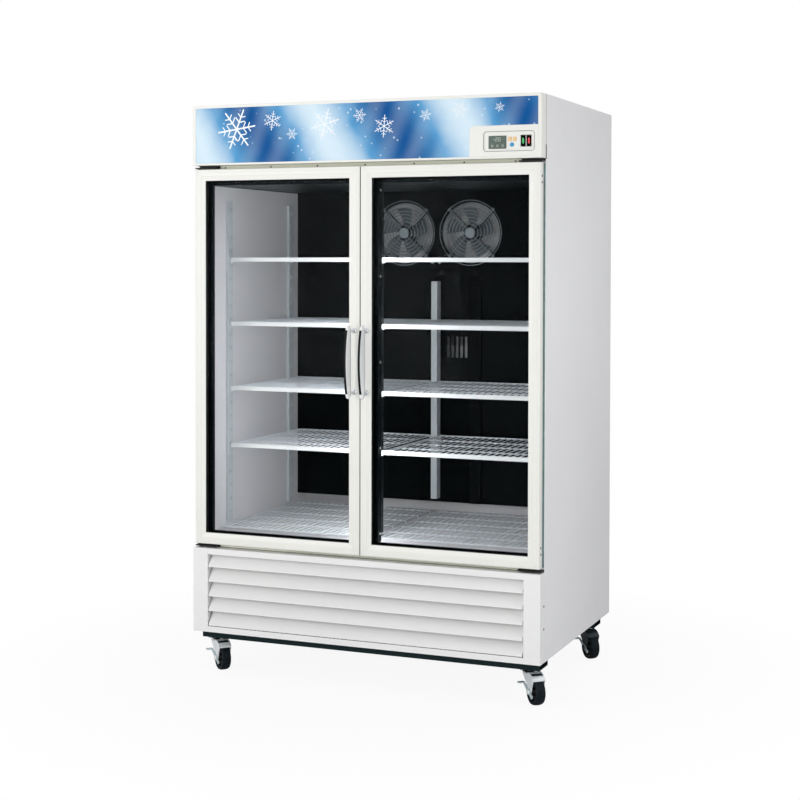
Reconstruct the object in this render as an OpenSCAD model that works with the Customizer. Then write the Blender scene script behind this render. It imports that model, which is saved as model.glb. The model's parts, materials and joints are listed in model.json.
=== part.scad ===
// Two-door glass-front merchandiser freezer on casters, in millimetres.
// The origin lies on the floor under the middle of the whole. +X is the viewer's right, -Y is the
// front and +Z is up. A depth is counted backwards from the front plane of the closed doors.

/* [Cabinet] */
// Width over the side panels
cab_w = 1290; // [1150:5:1500]
// Depth of the cabinet from its front flanges to its back panel
cab_d = 820; // [760:5:900]
// Height of the machine space behind the louvres
kick_h = 298; // [280:1:340]
// Thickness of the insulated floor
floor_t = 54; // [45:1:70]
// Inside height of the cold space
inside_h = 1235; // [1200:5:1400]
// Thickness of the insulated ceiling
ceiling_t = 67; // [50:1:90]
// Height of the lit header
header_h = 210; // [195:1:260]
// Thickness of the side and back walls with both skins
wall_t = 50; // [42:1:60]
// Thickness of the outer sheet metal
skin_t = 1; // [0.8:0.1:2]
// Thickness of the inner liner
liner_t = 1; // [0.8:0.1:2]
// Width of the front flange of a side panel
flange_w = 15; // [12:1:20]
// Thickness of the face frame
face_t = 3; // [2:0.5:4]
// Depth of the breaker collar round the doorway
collar_d = 19; // [12:1:25]
// How far the collar stands inside the liner
collar_lip = 2; // [1:0.5:4]
// Width of the centre mullion
mullion_w = 100; // [80:1:110]
// Depth of the centre mullion
mullion_d = 34; // [26:1:40]
// Number of screw caps up each side of the mullion
mullion_screw_count = 5; // [3:1:8]

/* [Doors] */
// Thickness of a door
door_t = 34; // [30:1:40]
// Gap between the two doors
door_gap = 3; // [2:0.5:5]
// From the side of the cabinet to the outer edge of a door
door_inset = 6; // [3:1:10]
// Gap over the doors
door_gap_top = 14; // [12:1:20]
// Gap under the doors
door_gap_bottom = 15; // [14:1:24]
// Width of a door's frame members
stile_w = 40; // [38:1:55]
// Width of the stepped inner lip of a door frame
lip_w = 8; // [4:1:12]
// Depth of that step
lip_step = 1.5; // [1:0.5:2.5]
// Thickness of the insulated glass unit
glass_t = 24; // [20:1:25]
// How far the glass lies behind the front of the door
glass_recess = 5; // [3.5:0.5:6]
// Thickness of one pane
pane_t = 4; // [3:0.5:5]
// How far the glass reaches into the frame
glass_bite = 12; // [8:1:16]
// Width of the spacer between the panes
spacer_w = 10; // [6:1:14]
// Room that a closed gasket fills
gasket_room = 8; // [6:0.5:12]
// Width of a gasket
gasket_w = 14; // [10:1:16]
// From the edge of a door to its gasket
gasket_inset = 10; // [9.5:0.5:14]

/* [Hinges and handles] */
// From the outer edge of a door to its hinge pin
pin_inset = 9; // [8:0.5:9.5]
// Radius of a hinge pin
pin_r = 4; // [3:0.5:5]
// How far a hinge pin reaches into the door
pin_len = 16; // [10:1:24]
// Width of a hinge bracket
hinge_w = 84; // [60:1:110]
// Thickness of a hinge bracket
hinge_t = 4; // [3:0.5:5]
// Distance between the two posts of a handle
post_pitch = 210; // [150:5:230]
// Length of a handle's grip
grip_len = 250; // [240:5:320]
// Gap between the grip and the door
grip_gap = 28; // [26:1:40]
// Depth of the grip at its ends
grip_end_d = 22; // [18:1:30]
// Depth of the grip at its middle
grip_mid_d = 42; // [36:1:50]
// Thickness of the grip
grip_t = 10; // [8:1:14]
// From the meeting edge of a door to its handle posts
post_inset = 20.5; // [17:0.5:22]
// Radius of a handle post
post_r = 5; // [4:0.5:7]
// Radius of the rosette under a post
rosette_r = 9; // [8:0.5:12]
// Height of the handle's middle over the bottom of the door
handle_rise = 663; // [500:1:800]

/* [Header] */
// How far the header stands in front of the doors
header_out = 7; // [4:1:12]
// Width of the header's rim at its ends
rim_end = 12; // [8:1:20]
// Height of the header's rim above the sign
rim_top = 10; // [8:1:16]
// Height of the header's rim under the sign
rim_bottom = 7; // [6:1:12]
// Wall of the header's case
case_t = 2; // [1.5:0.5:3]
// Thickness of the sign panel
sign_t = 3; // [2:0.5:4]
// Radius of the header's lamp tube
lamp_r = 13; // [8:1:15]

/* [Controls] */
// Width of the control bezel
bezel_w = 236; // [225:1:260]
// Height of the control bezel
bezel_h = 101; // [95:1:115]
// Width of the control panel's window
panel_w = 175; // [170:1:185]
// Height of the control panel's window
panel_h = 65; // [60:1:75]
// From the right edge of the bezel to the panel's window
panel_margin = 12; // [8:1:20]
// From the bottom of the bezel to the panel's window
panel_rise = 16; // [12:1:20]
// Depth of the control box behind the panel
box_d = 30; // [24:1:36]
// Width of the display
display_w = 62; // [50:1:66]
// Height of the display
display_h = 43; // [36:1:48]
// Width of a square button
square_w = 12; // [10:0.5:13]
// Radius of the round button
round_r = 7; // [5:0.5:7.5]
// Width of a rocker
rocker_w = 13.4; // [12:0.1:14]
// Height of a rocker
rocker_h = 31; // [28:0.5:33]

/* [Louvres and base] */
// How far the louvres and corner posts stand in front of the doors
kick_out = 5; // [0:1:10]
// Width of a corner post
post_w = 58; // [45:1:70]
// Number of louvre blades
louvre_count = 5; // [3:1:7]
// Depth of the louvre grille
louvre_d = 40; // [30:1:41]
// Height of the strip over the blades
strip_top_h = 21; // [15:1:30]
// Height of the strip under the blades
strip_bottom_h = 21; // [12:1:26]
// Part of the top blade that shows under the strip
top_reveal = 45; // [35:1:50]
// Width of a base rail
rail_w = 90; // [80:1:110]
// Height of a base rail
rail_h = 29; // [25:1:45]
// Wall of a base rail
rail_t = 2.5; // [2:0.5:4]
// How far the rails end inside the cabinet's sides
rail_inset = 14; // [5:1:30]
// Depth at which the front rail starts
rail_front = 37; // [35:1:60]
// From the back of the cabinet to the rear rail
rail_rear = 70; // [50:1:120]

/* [Casters] */
// Radius of a caster wheel
wheel_r = 45; // [38:1:46]
// Width of a wheel's tread
wheel_w = 32; // [24:1:34]
// Height of a caster from the floor to the rail
caster_h = 116; // [112:1:125]
// How far a wheel trails its swivel axis
trail = 38; // [28:1:38]
// From the end of a rail to a swivel axis
caster_inset = 43; // [40:1:80]
// Side of a caster's square plate
caster_plate = 64; // [60:1:70]
// Angle at which the casters stand
caster_turn = 42; // [0:1:359]
// Angle at which the front left caster stands
front_left_turn = 49; // [0:1:359]

/* [Shelves] */
// Height of the first shelf over the floor of the cold space
tier_1 = 303; // [250:1:340]
// From the first to the second shelf
tier_2 = 207; // [170:1:240]
// From the second to the third shelf
tier_3 = 234; // [200:1:260]
// From the third to the fourth shelf
tier_4 = 232; // [200:1:260]
// Depth at which the shelves start
shelf_front = 160; // [150:1:175]
// Thickness of a shelf's wires
wire_t = 5; // [4:0.5:7]
// Number of wires that run from front to back on a shelf
wire_count = 22; // [12:1:30]
// Height of a price rail
price_h = 15; // [12:1:30]
// Thickness of a price rail
price_t = 4; // [3:0.5:5]
// Width of a shelf standard
standard_w = 36; // [28:1:40]
// Depth at which the front standards start
standard_front = 143; // [130:1:145]
// How far a shelf standard stands out of the wall
standard_t = 10; // [6:1:12]
// Half the width of a centre standard
standard_half = 12; // [8:1:14]
// Distance between the slots of a standard
slot_pitch = 50; // [30:5:80]
// Height of a floor rack
rack_h = 17; // [14:1:30]
// From the back of the mullion to the floor racks
rack_room = 4; // [2:1:12]

/* [Cooling] */
// Depth of the air duct at the back
duct_d = 77; // [72:1:90]
// Half the distance between the evaporator fans
fan_half_pitch = 135; // [131:1:200]
// How far the fans hang below the ceiling of the cold space
fan_drop = 161; // [150:1:240]
// Radius of a fan guard
guard_r = 125; // [110:1:128]
// Radius of an evaporator fan
fan_r = 105; // [80:1:107]
// Radius of the condenser fan
condenser_fan_r = 108; // [80:1:110]
// From the fans' height down to the evaporator
coil_drop = 180; // [160:5:220]
// Height of the evaporator's fins
coil_h = 250; // [150:5:320]
// From the side wall to the evaporator's fins
coil_end = 160; // [100:5:300]
// Thickness of the evaporator
coil_d = 52; // [30:1:60]
// Width of the condenser
condenser_w = 430; // [300:5:460]
// From the middle of the cabinet to the compressor
compressor_x = 300; // [260:5:450]
// From the front of the base rails to the compressor
compressor_depth = 420; // [300:5:520]
// Width of the condensate pan
pan_w = 440; // [300:5:460]
// Depth of the condensate pan
pan_d = 230; // [150:5:260]
// Height of the condensate pan
pan_h = 34; // [25:1:50]
// Radius of the compressor's shell
compressor_r = 85; // [70:1:95]

/* [Hidden] */
$fn = 48;
fit = 0.05; // radial clearance of a pin in its bore
gap = 0.3; // clearance between bodies that pass each other
over = 1; // how far a cutter passes a face

// Depths, from the front of the doors
cab_y = door_t + gasket_room;
back_y = cab_y + cab_d;
handle_out = grip_gap + grip_mid_d;
front_y = -(back_y - handle_out) / 2; // the doors' front plane in the part's frame
inside_back = back_y - wall_t;
duct_y = inside_back - duct_d;
duct_t = 2;

// Heights
base_z = caster_h + rail_h;
kick_z = base_z + kick_h;
floor_z = kick_z + floor_t;
ceiling_z = floor_z + inside_h;
header_z = ceiling_z + ceiling_t;
top_z = header_z + header_h;
door_z0 = kick_z + door_gap_bottom;
door_z1 = header_z - door_gap_top;
mid_door_z = door_z0 + handle_rise;

// Half widths
half_w = cab_w / 2;
inner_x = half_w - skin_t;
inside_x = half_w - wall_t;
liner_x = inside_x + liner_t;
face_x = half_w - flange_w;
doorway_x = inside_x - collar_lip;
door_in = door_gap / 2;
door_out = half_w - door_inset;
glass_in = door_in + stile_w;
glass_out = door_out - stile_w;
hinge_x = door_out - pin_inset;
hinge_y = door_t / 2;
header_x = half_w - 1;
bush_r = 2 * pin_r;
post_x = door_in + post_inset;
grip_x = post_x + 4;

// Sign and controls
sign_front = case_t - header_out;
sign_x = header_x - rim_end;
sign_z0 = header_z + rim_bottom;
sign_z1 = top_z - rim_top;
sign_seat = 5; // how far the sign lies behind its rim
bezel_x = sign_x - bezel_w;
bezel_top = sign_z0 + bezel_h;
bezel_corner = 14;
panel_x = sign_x - panel_margin - panel_w / 2;
panel_z = sign_z0 + panel_rise + panel_h / 2;
panel_corner = 10;
panel_t = 3;
panel_seat = 2;
button_travel = 1.5;
button_out = 1.5;
square_h = square_w + 1;
square_x = [panel_x + 2.5, panel_x + 19.5];
square_z = panel_z + 7;
round_x = panel_x + 10;
round_z = panel_z - 11.5;
rocker_x = [panel_x + 48.5, panel_x + 68];
rocker_z = panel_z;
rocker_y = sign_front + 6;
rocker_swing_room = 2.2;
rocker_pin_r = 1.5;
ear_t = 2;

// Louvres and base
post_in = half_w - post_w;
sheet_t = 1.5;
louvre_gap = 2;
louvre_z0 = base_z + strip_bottom_h + louvre_gap;
louvre_pitch = (kick_h - strip_bottom_h - louvre_gap - strip_top_h - top_reveal) / (louvre_count - 1);
blade_end_gap = 3;
rib_t = 3;
rail_x = half_w - rail_inset;
rail_back = back_y - rail_rear - rail_w;
caster_x = rail_x - caster_inset;
caster_front = rail_front + rail_w / 2 - 2;
caster_back = rail_back + rail_w / 2;
pan_t = 2;
pan_z = base_z + pan_t;
pan_rear = 125; // from the condensate pan to the back of the cabinet
pan_back = back_y - pan_rear;
pan_shift = 50; // from the middle of the condenser to the middle of the condensate pan

// Casters
plate_t = 3;
race_r = 22;
race_h = 6;
kingpin_r = 6;
fork_top = caster_h - plate_t - race_h - gap;
fork_top_t = 6.5;
fork_half = 26;
leg_t = 3;
leg_room = 4; // from a tyre to the legs of its fork
leg_in = wheel_w / 2 + leg_room;
hub_half = leg_in - gap;
leg_out = leg_in + leg_t;
axle_r = 4;
axle_boss_r = 12;
lip_room = 2; // from a wheel to the lip of its fork
lip_turn = 60; // from the level up to the lip, seen from the axle
lip_y = -trail - (wheel_r + lip_room) * cos(lip_turn);
lip_z = wheel_r + (wheel_r + lip_room) * sin(lip_turn);
fork_lip_t = 3;
fork_lip_h = 5;
brake_t = 4;

// Shelves
shelf_z = [tier_1, tier_1 + tier_2, tier_1 + tier_2 + tier_3, tier_1 + tier_2 + tier_3 + tier_4];
side_gap = 2; // between a shelf and the standards beside it
shelf_out = inside_x - standard_t - side_gap;
shelf_in = standard_half + side_gap;
shelf_back = duct_y - 17;
standard_rear = duct_y - 95;
standard_z0 = floor_z + 23;
standard_z1 = ceiling_z - 54;
clip_h = 14;
clip_w = 16;
clip_out = 12;
clip_gap = 1; // behind the price rail

// Cooling
fan_z = ceiling_z - fan_drop;
guard_y = duct_y - 14;
fan_y = duct_y - 8;
fan_t = 14;
fan_hub_r = 20;
shaft_r = 3;
motor_y = duct_y + 10;
motor_r = 34;
motor_l = 42;
fan_hole_r = guard_r - 10;
cover_room = 60; // from a fan guard down to the cable cover
slot_drop = 35; // from the bottom of the evaporator up to the top of the return slots
panel_z0 = floor_z + 45;
condenser_y = rail_front + 23;
fan_motor_l = 50;
fan_motor_room = 40; // from the shroud's plate to its motor
condenser_d = 45;
condenser_x = -250;
condenser_room = 36; // over the condenser
condenser_h = kick_h - condenser_room;
shroud_y = condenser_y + condenser_d;
shroud_z = pan_z + condenser_h / 2;

gland_r = 10;
gland_inset = 85;
gland_rise = 60;
gland_x = gland_inset - half_w;
gland_z = base_z + gland_rise;

// ---- Helpers: x and z are [low, high] pairs, d is a pair of depths ----

module block(x, d, z) {
    translate([x[0], front_y + d[0], z[0]])
        cube([x[1] - x[0], d[1] - d[0], z[1] - z[0]]);
}

module rect(a, b) {
    translate([a[0], b[0]])
        square([a[1] - a[0], b[1] - b[0]]);
}

module round_rect(a, b, r) {
    rect([a[0] + r, a[1] - r], b);
    rect(a, [b[0] + r, b[1] - r]);
    for (x = [a[0] + r, a[1] - r], y = [b[0] + r, b[1] - r])
        translate([x, y])
            circle(r);
}

// Children drawn in (X, Z) are carried from depth d[0] to d[1]
module along_y(d) {
    translate([0, front_y + d[1], 0])
        rotate([90, 0, 0])
            linear_extrude(d[1] - d[0])
                children();
}

// Children drawn in (depth, Z) are carried from x[0] to x[1]
module along_x(x) {
    translate([x[0], front_y, 0])
        rotate([90, 0, 90])
            linear_extrude(x[1] - x[0])
                children();
}

// Children drawn in (X, depth) are carried from z[0] to z[1]
module along_z(z) {
    translate([0, front_y, z[0]])
        linear_extrude(z[1] - z[0])
            children();
}

// A round bar that runs backwards from depth d[0] to d[1]
module bar_y(x, z, r, d) {
    translate([x, front_y + d[0], z])
        rotate([-90, 0, 0])
            cylinder(r = r, h = d[1] - d[0]);
}

// A round bar that runs from x[0] to x[1]
module bar_x(x, depth, z, r) {
    translate([x[0], front_y + depth, z])
        rotate([0, 90, 0])
            cylinder(r = r, h = x[1] - x[0]);
}

module on_side(side) {
    if (side > 0)
        children();
    else
        mirror([1, 0, 0])
            children();
}

module both_sides() {
    children();
    mirror([1, 0, 0])
        children();
}

module ring(a, b, w) {
    difference() {
        rect(a, b);
        rect([a[0] + w, a[1] - w], [b[0] + w, b[1] - w]);
    }
}

// ---- Cabinet ----

module side_panel(side) {
    color([0.86, 0.86, 0.89])
        on_side(side)
            along_z([base_z, top_z])
                union() {
                    rect([inner_x, half_w], [cab_y, back_y]);
                    rect([face_x, inner_x + over / 2], [cab_y, cab_y + skin_t]);
                }
}

module top_panel() {
    color([0.86, 0.86, 0.89])
        block([-inner_x, inner_x], [cab_y + skin_t, back_y], [top_z - skin_t, top_z]);
}

module back_panel() {
    vent_w = 90;
    vent_h = 8;
    vent_rows = 8;
    vent_pitch = (kick_h - 80) / vent_rows;
    color([0.75, 0.76, 0.78])
        along_y([back_y - skin_t, back_y])
            difference() {
                rect([-inner_x, inner_x], [base_z, top_z - skin_t]);
                for (col = [-3, -1, 1, 3], row = [0 : vent_rows - 1])
                    translate([col * vent_w * 0.75 - vent_w / 2, base_z + 50 + row * vent_pitch])
                        square([vent_w, vent_h]);
                translate([gland_x, gland_z])
                    circle(gland_r);
            }
}

module insulation() {
    color([0.93, 0.86, 0.6])
        difference() {
            block([-inner_x, inner_x], [cab_y + face_t, back_y - skin_t], [kick_z, header_z]);
            block([-liner_x, liner_x], [cab_y, inside_back + liner_t],
                [floor_z - liner_t, ceiling_z + liner_t]);
        }
}

module inner_liner() {
    liner_y = cab_y + collar_d;
    color([0.76, 0.78, 0.8])
        difference() {
            block([-liner_x, liner_x], [liner_y, inside_back + liner_t],
                [floor_z - liner_t, ceiling_z + liner_t]);
            block([-inside_x, inside_x], [liner_y - over, inside_back], [floor_z, ceiling_z]);
        }
}

module face_frame() {
    color([0.12, 0.17, 0.18])
        difference() {
            union() {
                block([-face_x, face_x], [cab_y, cab_y + face_t], [kick_z, header_z]);
                block([-liner_x, liner_x], [cab_y, cab_y + collar_d],
                    [floor_z - liner_t, ceiling_z + liner_t]);
            }
            block([-doorway_x, doorway_x], [cab_y - over, cab_y + collar_d + over],
                [floor_z + collar_lip, ceiling_z - collar_lip]);
        }
}

module centre_mullion() {
    chamfer = 4;
    color([0.1, 0.16, 0.17])
        along_z([floor_z + collar_lip, ceiling_z - collar_lip])
            translate([0, cab_y])
                polygon([
                    [-mullion_w / 2, 0], [mullion_w / 2, 0],
                    [mullion_w / 2, mullion_d - chamfer], [mullion_w / 2 - chamfer, mullion_d],
                    [chamfer - mullion_w / 2, mullion_d], [-mullion_w / 2, mullion_d - chamfer]
                ]);
}

// White caps up both sides of the mullion, screws in the corner posts and under the header
module case_screws() {
    cap_r = 4;
    cap_h = 1.5;
    end_rise = 31;
    mullion_pitch = (inside_h - 2 * end_rise + 4) / (mullion_screw_count - 1);
    post_screw_r = 3.5;
    under_screws = 7;
    under_inset = 105;
    under_pitch = 2 * (half_w - under_inset) / (under_screws - 1);
    post_screw_rise = [112, 187];
    color("white") {
        both_sides()
            for (i = [0 : mullion_screw_count - 1])
                bar_x([mullion_w / 2, mullion_w / 2 + cap_h], cab_y + mullion_d / 2 + 1,
                    floor_z + end_rise + i * mullion_pitch, cap_r);
    }
    color("grey") {
        both_sides()
            for (rise = post_screw_rise)
                bar_x([half_w, half_w + cap_h / 3], cab_y - 8, base_z + rise, post_screw_r);
        for (i = [0 : under_screws - 1])
            bar_y((i - (under_screws - 1) / 2) * under_pitch, header_z - door_gap_top / 2,
                post_screw_r, [cab_y - cap_h, cab_y]);
    }
}

// ---- Header ----

module bezel_outline() {
    rect([bezel_x + bezel_corner, sign_x], [sign_z0, bezel_top]);
    rect([bezel_x, sign_x], [sign_z0, bezel_top - bezel_corner]);
    translate([bezel_x + bezel_corner, bezel_top - bezel_corner])
        circle(bezel_corner);
}

module panel_outline(grow) {
    round_rect([panel_x - panel_w / 2 - grow, panel_x + panel_w / 2 + grow],
        [panel_z - panel_h / 2 - grow, panel_z + panel_h / 2 + grow], panel_corner);
}

module header_case() {
    color([0.95, 0.95, 0.94])
        difference() {
            block([-header_x, header_x], [-header_out, cab_y], [header_z, top_z]);
            block([case_t - header_x, header_x - case_t], [sign_front, cab_y - case_t],
                [header_z + case_t, top_z - case_t]);
            block([-sign_x, sign_x], [-header_out - over, sign_front + over], [sign_z0, sign_z1]);
        }
}

module header_sign() {
    seat = min(sign_seat, rim_bottom - case_t);
    color([0.1, 0.4, 0.7])
        along_y([sign_front, sign_front + sign_t])
            difference() {
                rect([-sign_x - seat, sign_x + seat], [sign_z0 - seat, sign_z1 + seat]);
                panel_outline(panel_seat + 1);
            }
}

module control_bezel() {
    color([0.94, 0.94, 0.92])
        along_y([-header_out, sign_front])
            difference() {
                bezel_outline();
                panel_outline(0);
            }
}

// One tube across the header and one up the back of the mullion, each between two holders
module lamps() {
    holder_l = 24;
    holder_w = 2 * lamp_r + 6;
    header_lamp_z = sign_z1 - 3 * lamp_r;
    header_lamp_y = cab_y - case_t - lamp_r - 5;
    header_lamp_x = header_x - 90;
    mullion_lamp_r = 10;
    mullion_lamp_y = cab_y + mullion_d + mullion_lamp_r + 4;
    color("white") {
        bar_x([-header_lamp_x, header_lamp_x], header_lamp_y, header_lamp_z, lamp_r);
        both_sides()
            block([header_lamp_x - 4, header_lamp_x + holder_l],
                [header_lamp_y - lamp_r - 3, cab_y - case_t],
                [header_lamp_z - holder_w / 2, header_lamp_z + holder_w / 2]);
        along_z([floor_z + 60, ceiling_z - 60])
            translate([0, mullion_lamp_y])
                circle(mullion_lamp_r);
        for (z = [floor_z + 40, ceiling_z - 60 - 4])
            block([-mullion_lamp_r - 2, mullion_lamp_r + 2],
                [cab_y + mullion_d, mullion_lamp_y + mullion_lamp_r + 2], [z, z + holder_l]);
    }
}

// ---- Controls ----

module button_hole(x, z, w, h) {
    block([x - w / 2 - gap, x + w / 2 + gap], [sign_front - over, sign_front + panel_t + over],
        [z - h / 2 - gap, z + h / 2 + gap]);
}

// The panel plate with its display, the box behind it and the ears that carry the rockers
module control_panel() {
    box_wall = 2;
    display_x = panel_x - panel_w / 2 + 17;
    display_z = panel_z - 3;
    ear_h = 5;
    ear_d = 9;
    color([0.9, 0.92, 0.92])
        difference() {
            union() {
                along_y([sign_front, sign_front + panel_t])
                    panel_outline(panel_seat);
                along_y([sign_front + panel_t, sign_front + box_d])
                    difference() {
                        rect([panel_x - panel_w / 2, panel_x + panel_w / 2],
                            [panel_z - panel_h / 2, panel_z + panel_h / 2]);
                        rect([panel_x - panel_w / 2 + box_wall, panel_x + panel_w / 2 - box_wall],
                            [panel_z - panel_h / 2 + box_wall, panel_z + panel_h / 2 - box_wall]);
                    }
                along_y([sign_front + box_d - box_wall, sign_front + box_d])
                    rect([panel_x - panel_w / 2, panel_x + panel_w / 2],
                        [panel_z - panel_h / 2, panel_z + panel_h / 2]);
                block([display_x, display_x + display_w], [sign_front - 1, sign_front + panel_t],
                    [display_z - display_h / 2, display_z + display_h / 2]);
                for (x = rocker_x, side = [-1, 1])
                    translate([x + side * (rocker_w / 2 + 2 * gap + ear_t / 2), 0, 0])
                        block([-ear_t / 2, ear_t / 2], [sign_front + panel_t, sign_front + ear_d],
                            [rocker_z - ear_h, rocker_z + ear_h]);
            }
            for (x = square_x)
                button_hole(x, square_z, square_w, square_h);
            bar_y(round_x, round_z, round_r + gap, [sign_front - over, sign_front + panel_t + over]);
            for (x = rocker_x) {
                button_hole(x, rocker_z, rocker_w, rocker_h + 2 * rocker_swing_room);
                bar_x([x - rocker_w, x + rocker_w], rocker_y, rocker_z, rocker_pin_r + fit);
            }
        }
}

module square_button(index) {
    x = square_x[index];
    flange = 1.5;
    color([0.95, 0.72, 0.35]) {
        block([x - square_w / 2, x + square_w / 2], [sign_front - button_out, sign_front + panel_t + 4],
            [square_z - square_h / 2, square_z + square_h / 2]);
        block([x - square_w / 2 - flange, x + square_w / 2 + flange],
            [sign_front + panel_t + gap, sign_front + panel_t + gap + flange],
            [square_z - square_h / 2 - flange, square_z + square_h / 2 + flange]);
    }
}

module round_button() {
    flange = 1.5;
    color([0.1, 0.55, 0.85]) {
        bar_y(round_x, round_z, round_r, [sign_front - button_out, sign_front + panel_t + 4]);
        bar_y(round_x, round_z, round_r + flange,
            [sign_front + panel_t + gap, sign_front + panel_t + gap + flange]);
    }
}

// A rocker's front is a shallow valley: its upper half stands out and its lower half is pressed
module rocker(index) {
    x = rocker_x[index];
    half = rocker_h / 2;
    color(index == 0 ? [0.1, 0.75, 0.3] : [0.85, 0.1, 0.12]) {
        along_x([x - rocker_w / 2, x + rocker_w / 2])
            polygon([
                [sign_front + 6, -half * 0.9 + rocker_z], [sign_front + 0.2, rocker_z - half],
                [sign_front - 1.2, rocker_z], [sign_front - 3, rocker_z + half],
                [sign_front + 6, half * 0.9 + rocker_z], [rocker_y + 4, rocker_z]
            ]);
        bar_x([x - rocker_w / 2 - 2 * gap - ear_t, x + rocker_w / 2 + 2 * gap + ear_t],
            rocker_y, rocker_z, rocker_pin_r);
    }
}

// ---- Louvres and base ----

module corner_posts() {
    color([0.95, 0.95, 0.95])
        both_sides() {
            along_z([base_z, kick_z])
                difference() {
                    rect([post_in, half_w], [-kick_out, cab_y]);
                    rect([post_in + sheet_t, half_w - sheet_t], [sheet_t - kick_out, cab_y + over]);
                }
            block([post_in, half_w], [-kick_out, cab_y], [kick_z - sheet_t, kick_z]);
        }
}

// A blade has an upright lip at its front and leans back under the next one
module blade_outline() {
    lip = 5;
    blade_t = 2.2;
    rise = louvre_pitch + 2;
    polygon([
        [0, 0], [0, lip], [louvre_d - rib_t, rise], [louvre_d - rib_t, rise - 2 * blade_t],
        [blade_t, lip - 1], [blade_t, 0]
    ]);
}

module louvre_grille() {
    rib_x = post_in - blade_end_gap - rib_t;
    color([0.93, 0.93, 0.94])
        translate([0, -kick_out, 0]) {
            along_x([-post_in, post_in]) {
                rect([0, sheet_t], [kick_z - strip_top_h, kick_z]);
                rect([0, louvre_d], [kick_z - sheet_t, kick_z]);
                rect([0, sheet_t], [base_z, base_z + strip_bottom_h]);
                rect([0, louvre_d], [base_z, base_z + sheet_t]);
            }
            along_x([blade_end_gap - post_in, post_in - blade_end_gap])
                for (i = [0 : louvre_count - 1])
                    translate([0, louvre_z0 + i * louvre_pitch])
                        blade_outline();
            for (i = [-2 : 2])
                block([i * rib_x / 2 - rib_t / 2, i * rib_x / 2 + rib_t / 2],
                    [louvre_d - 2 * rib_t, louvre_d], [base_z, kick_z]);
        }
}

module base_rails() {
    color([0.1, 0.16, 0.17])
        for (y = [rail_front, rail_back])
            along_x([-rail_x, rail_x])
                difference() {
                    rect([y, y + rail_w], [caster_h, base_z]);
                    rect([y + rail_t, y + rail_w - rail_t], [caster_h + rail_t, base_z - rail_t]);
                }
}

module base_pan() {
    color([0.6, 0.62, 0.64])
        block([-inner_x, inner_x], [cab_y + skin_t, back_y - skin_t], [base_z, pan_z]);
}

// ---- Casters: each is drawn round its swivel axis, with the axle along X and the trail to -Y ----

module at_caster(side, depth) {
    translate([side * caster_x, front_y + depth, 0])
        rotate([0, 0, side < 0 && depth == caster_front ? front_left_turn : caster_turn])
            children();
}

module caster_plates() {
    bolt_r = 6;
    bolt_h = 3.5;
    bolt_half = caster_plate / 2 - 8;
    color([0.75, 0.76, 0.78])
        for (side = [-1, 1], depth = [caster_front, caster_back])
            translate([side * caster_x, front_y + depth, 0]) {
                translate([-caster_plate / 2, -caster_plate / 2, caster_h - plate_t])
                    cube([caster_plate, caster_plate, plate_t]);
                translate([0, 0, fork_top + gap])
                    cylinder(r = race_r, h = race_h);
                translate([0, 0, fork_top - fork_top_t - gap])
                    cylinder(r = kingpin_r, h = fork_top_t + 2 * gap);
                translate([0, 0, fork_top - fork_top_t - gap - 4])
                    cylinder(r = kingpin_r + 3, h = 4);
                for (x = [-bolt_half, bolt_half], y = [-bolt_half, bolt_half])
                    translate([x, y, caster_h - plate_t - bolt_h])
                        cylinder(r = bolt_r, h = bolt_h, $fn = 6);
            }
}

module axle_bar(r, x) {
    translate([x[0], -trail, wheel_r])
        rotate([0, 90, 0])
            cylinder(r = r, h = x[1] - x[0]);
}

module fork(side, depth) {
    head_t = 4;
    brake_side = leg_out + gap + brake_t + gap;
    color([0.78, 0.79, 0.8])
        at_caster(side, depth) {
            difference() {
                translate([-leg_out, -fork_half, fork_top - fork_top_t])
                    cube([2 * leg_out, 2 * fork_half, fork_top_t]);
                translate([0, 0, fork_top - fork_top_t - over])
                    cylinder(r = kingpin_r + fit, h = fork_top_t + 2 * over);
            }
            for (x = [-leg_out, leg_in])
                translate([x, 0, 0])
                    rotate([90, 0, 90])
                        linear_extrude(leg_t) {
                            polygon([
                                [fork_half - 6, fork_top], [-fork_half, fork_top],
                                [lip_y - fork_lip_t, lip_z + fork_lip_h], [lip_y - fork_lip_t, lip_z],
                                [-trail - axle_boss_r, wheel_r], [-trail + axle_boss_r, wheel_r]
                            ]);
                            translate([-trail, wheel_r])
                                circle(axle_boss_r);
                        }
            translate([-leg_out, lip_y - fork_lip_t, lip_z])
                cube([2 * leg_out, fork_lip_t, fork_lip_h]);
            axle_bar(axle_r, [-brake_side - head_t, leg_out + head_t]);
            axle_bar(2 * axle_r, [-brake_side - head_t, -brake_side]);
            axle_bar(2 * axle_r, [leg_out, leg_out + head_t]);
        }
}

// Tyre, rim, dished web and hub in one turned profile
module wheel(side, depth) {
    half = wheel_w / 2;
    rim_r = wheel_r - 9;
    hub_r = 13;
    web_half = 6;
    shoulder = 3;
    color([0.07, 0.08, 0.09])
        at_caster(side, depth)
            translate([0, -trail, wheel_r])
                rotate([0, 90, 0])
                    rotate_extrude($fn = 72)
                        polygon([
                            [axle_r + fit, -hub_half], [hub_r, -hub_half], [hub_r + 1, -web_half],
                            [rim_r - 3, -web_half], [rim_r, 2 - half], [rim_r + 1, -half],
                            [wheel_r - shoulder, -half], [wheel_r, shoulder + 2 - half],
                            [wheel_r, half - shoulder - 2], [wheel_r - shoulder, half],
                            [rim_r + 1, half], [rim_r, half - 2], [rim_r - 3, web_half],
                            [hub_r + 1, web_half], [hub_r, hub_half], [axle_r + fit, hub_half]
                        ]);
}

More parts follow.
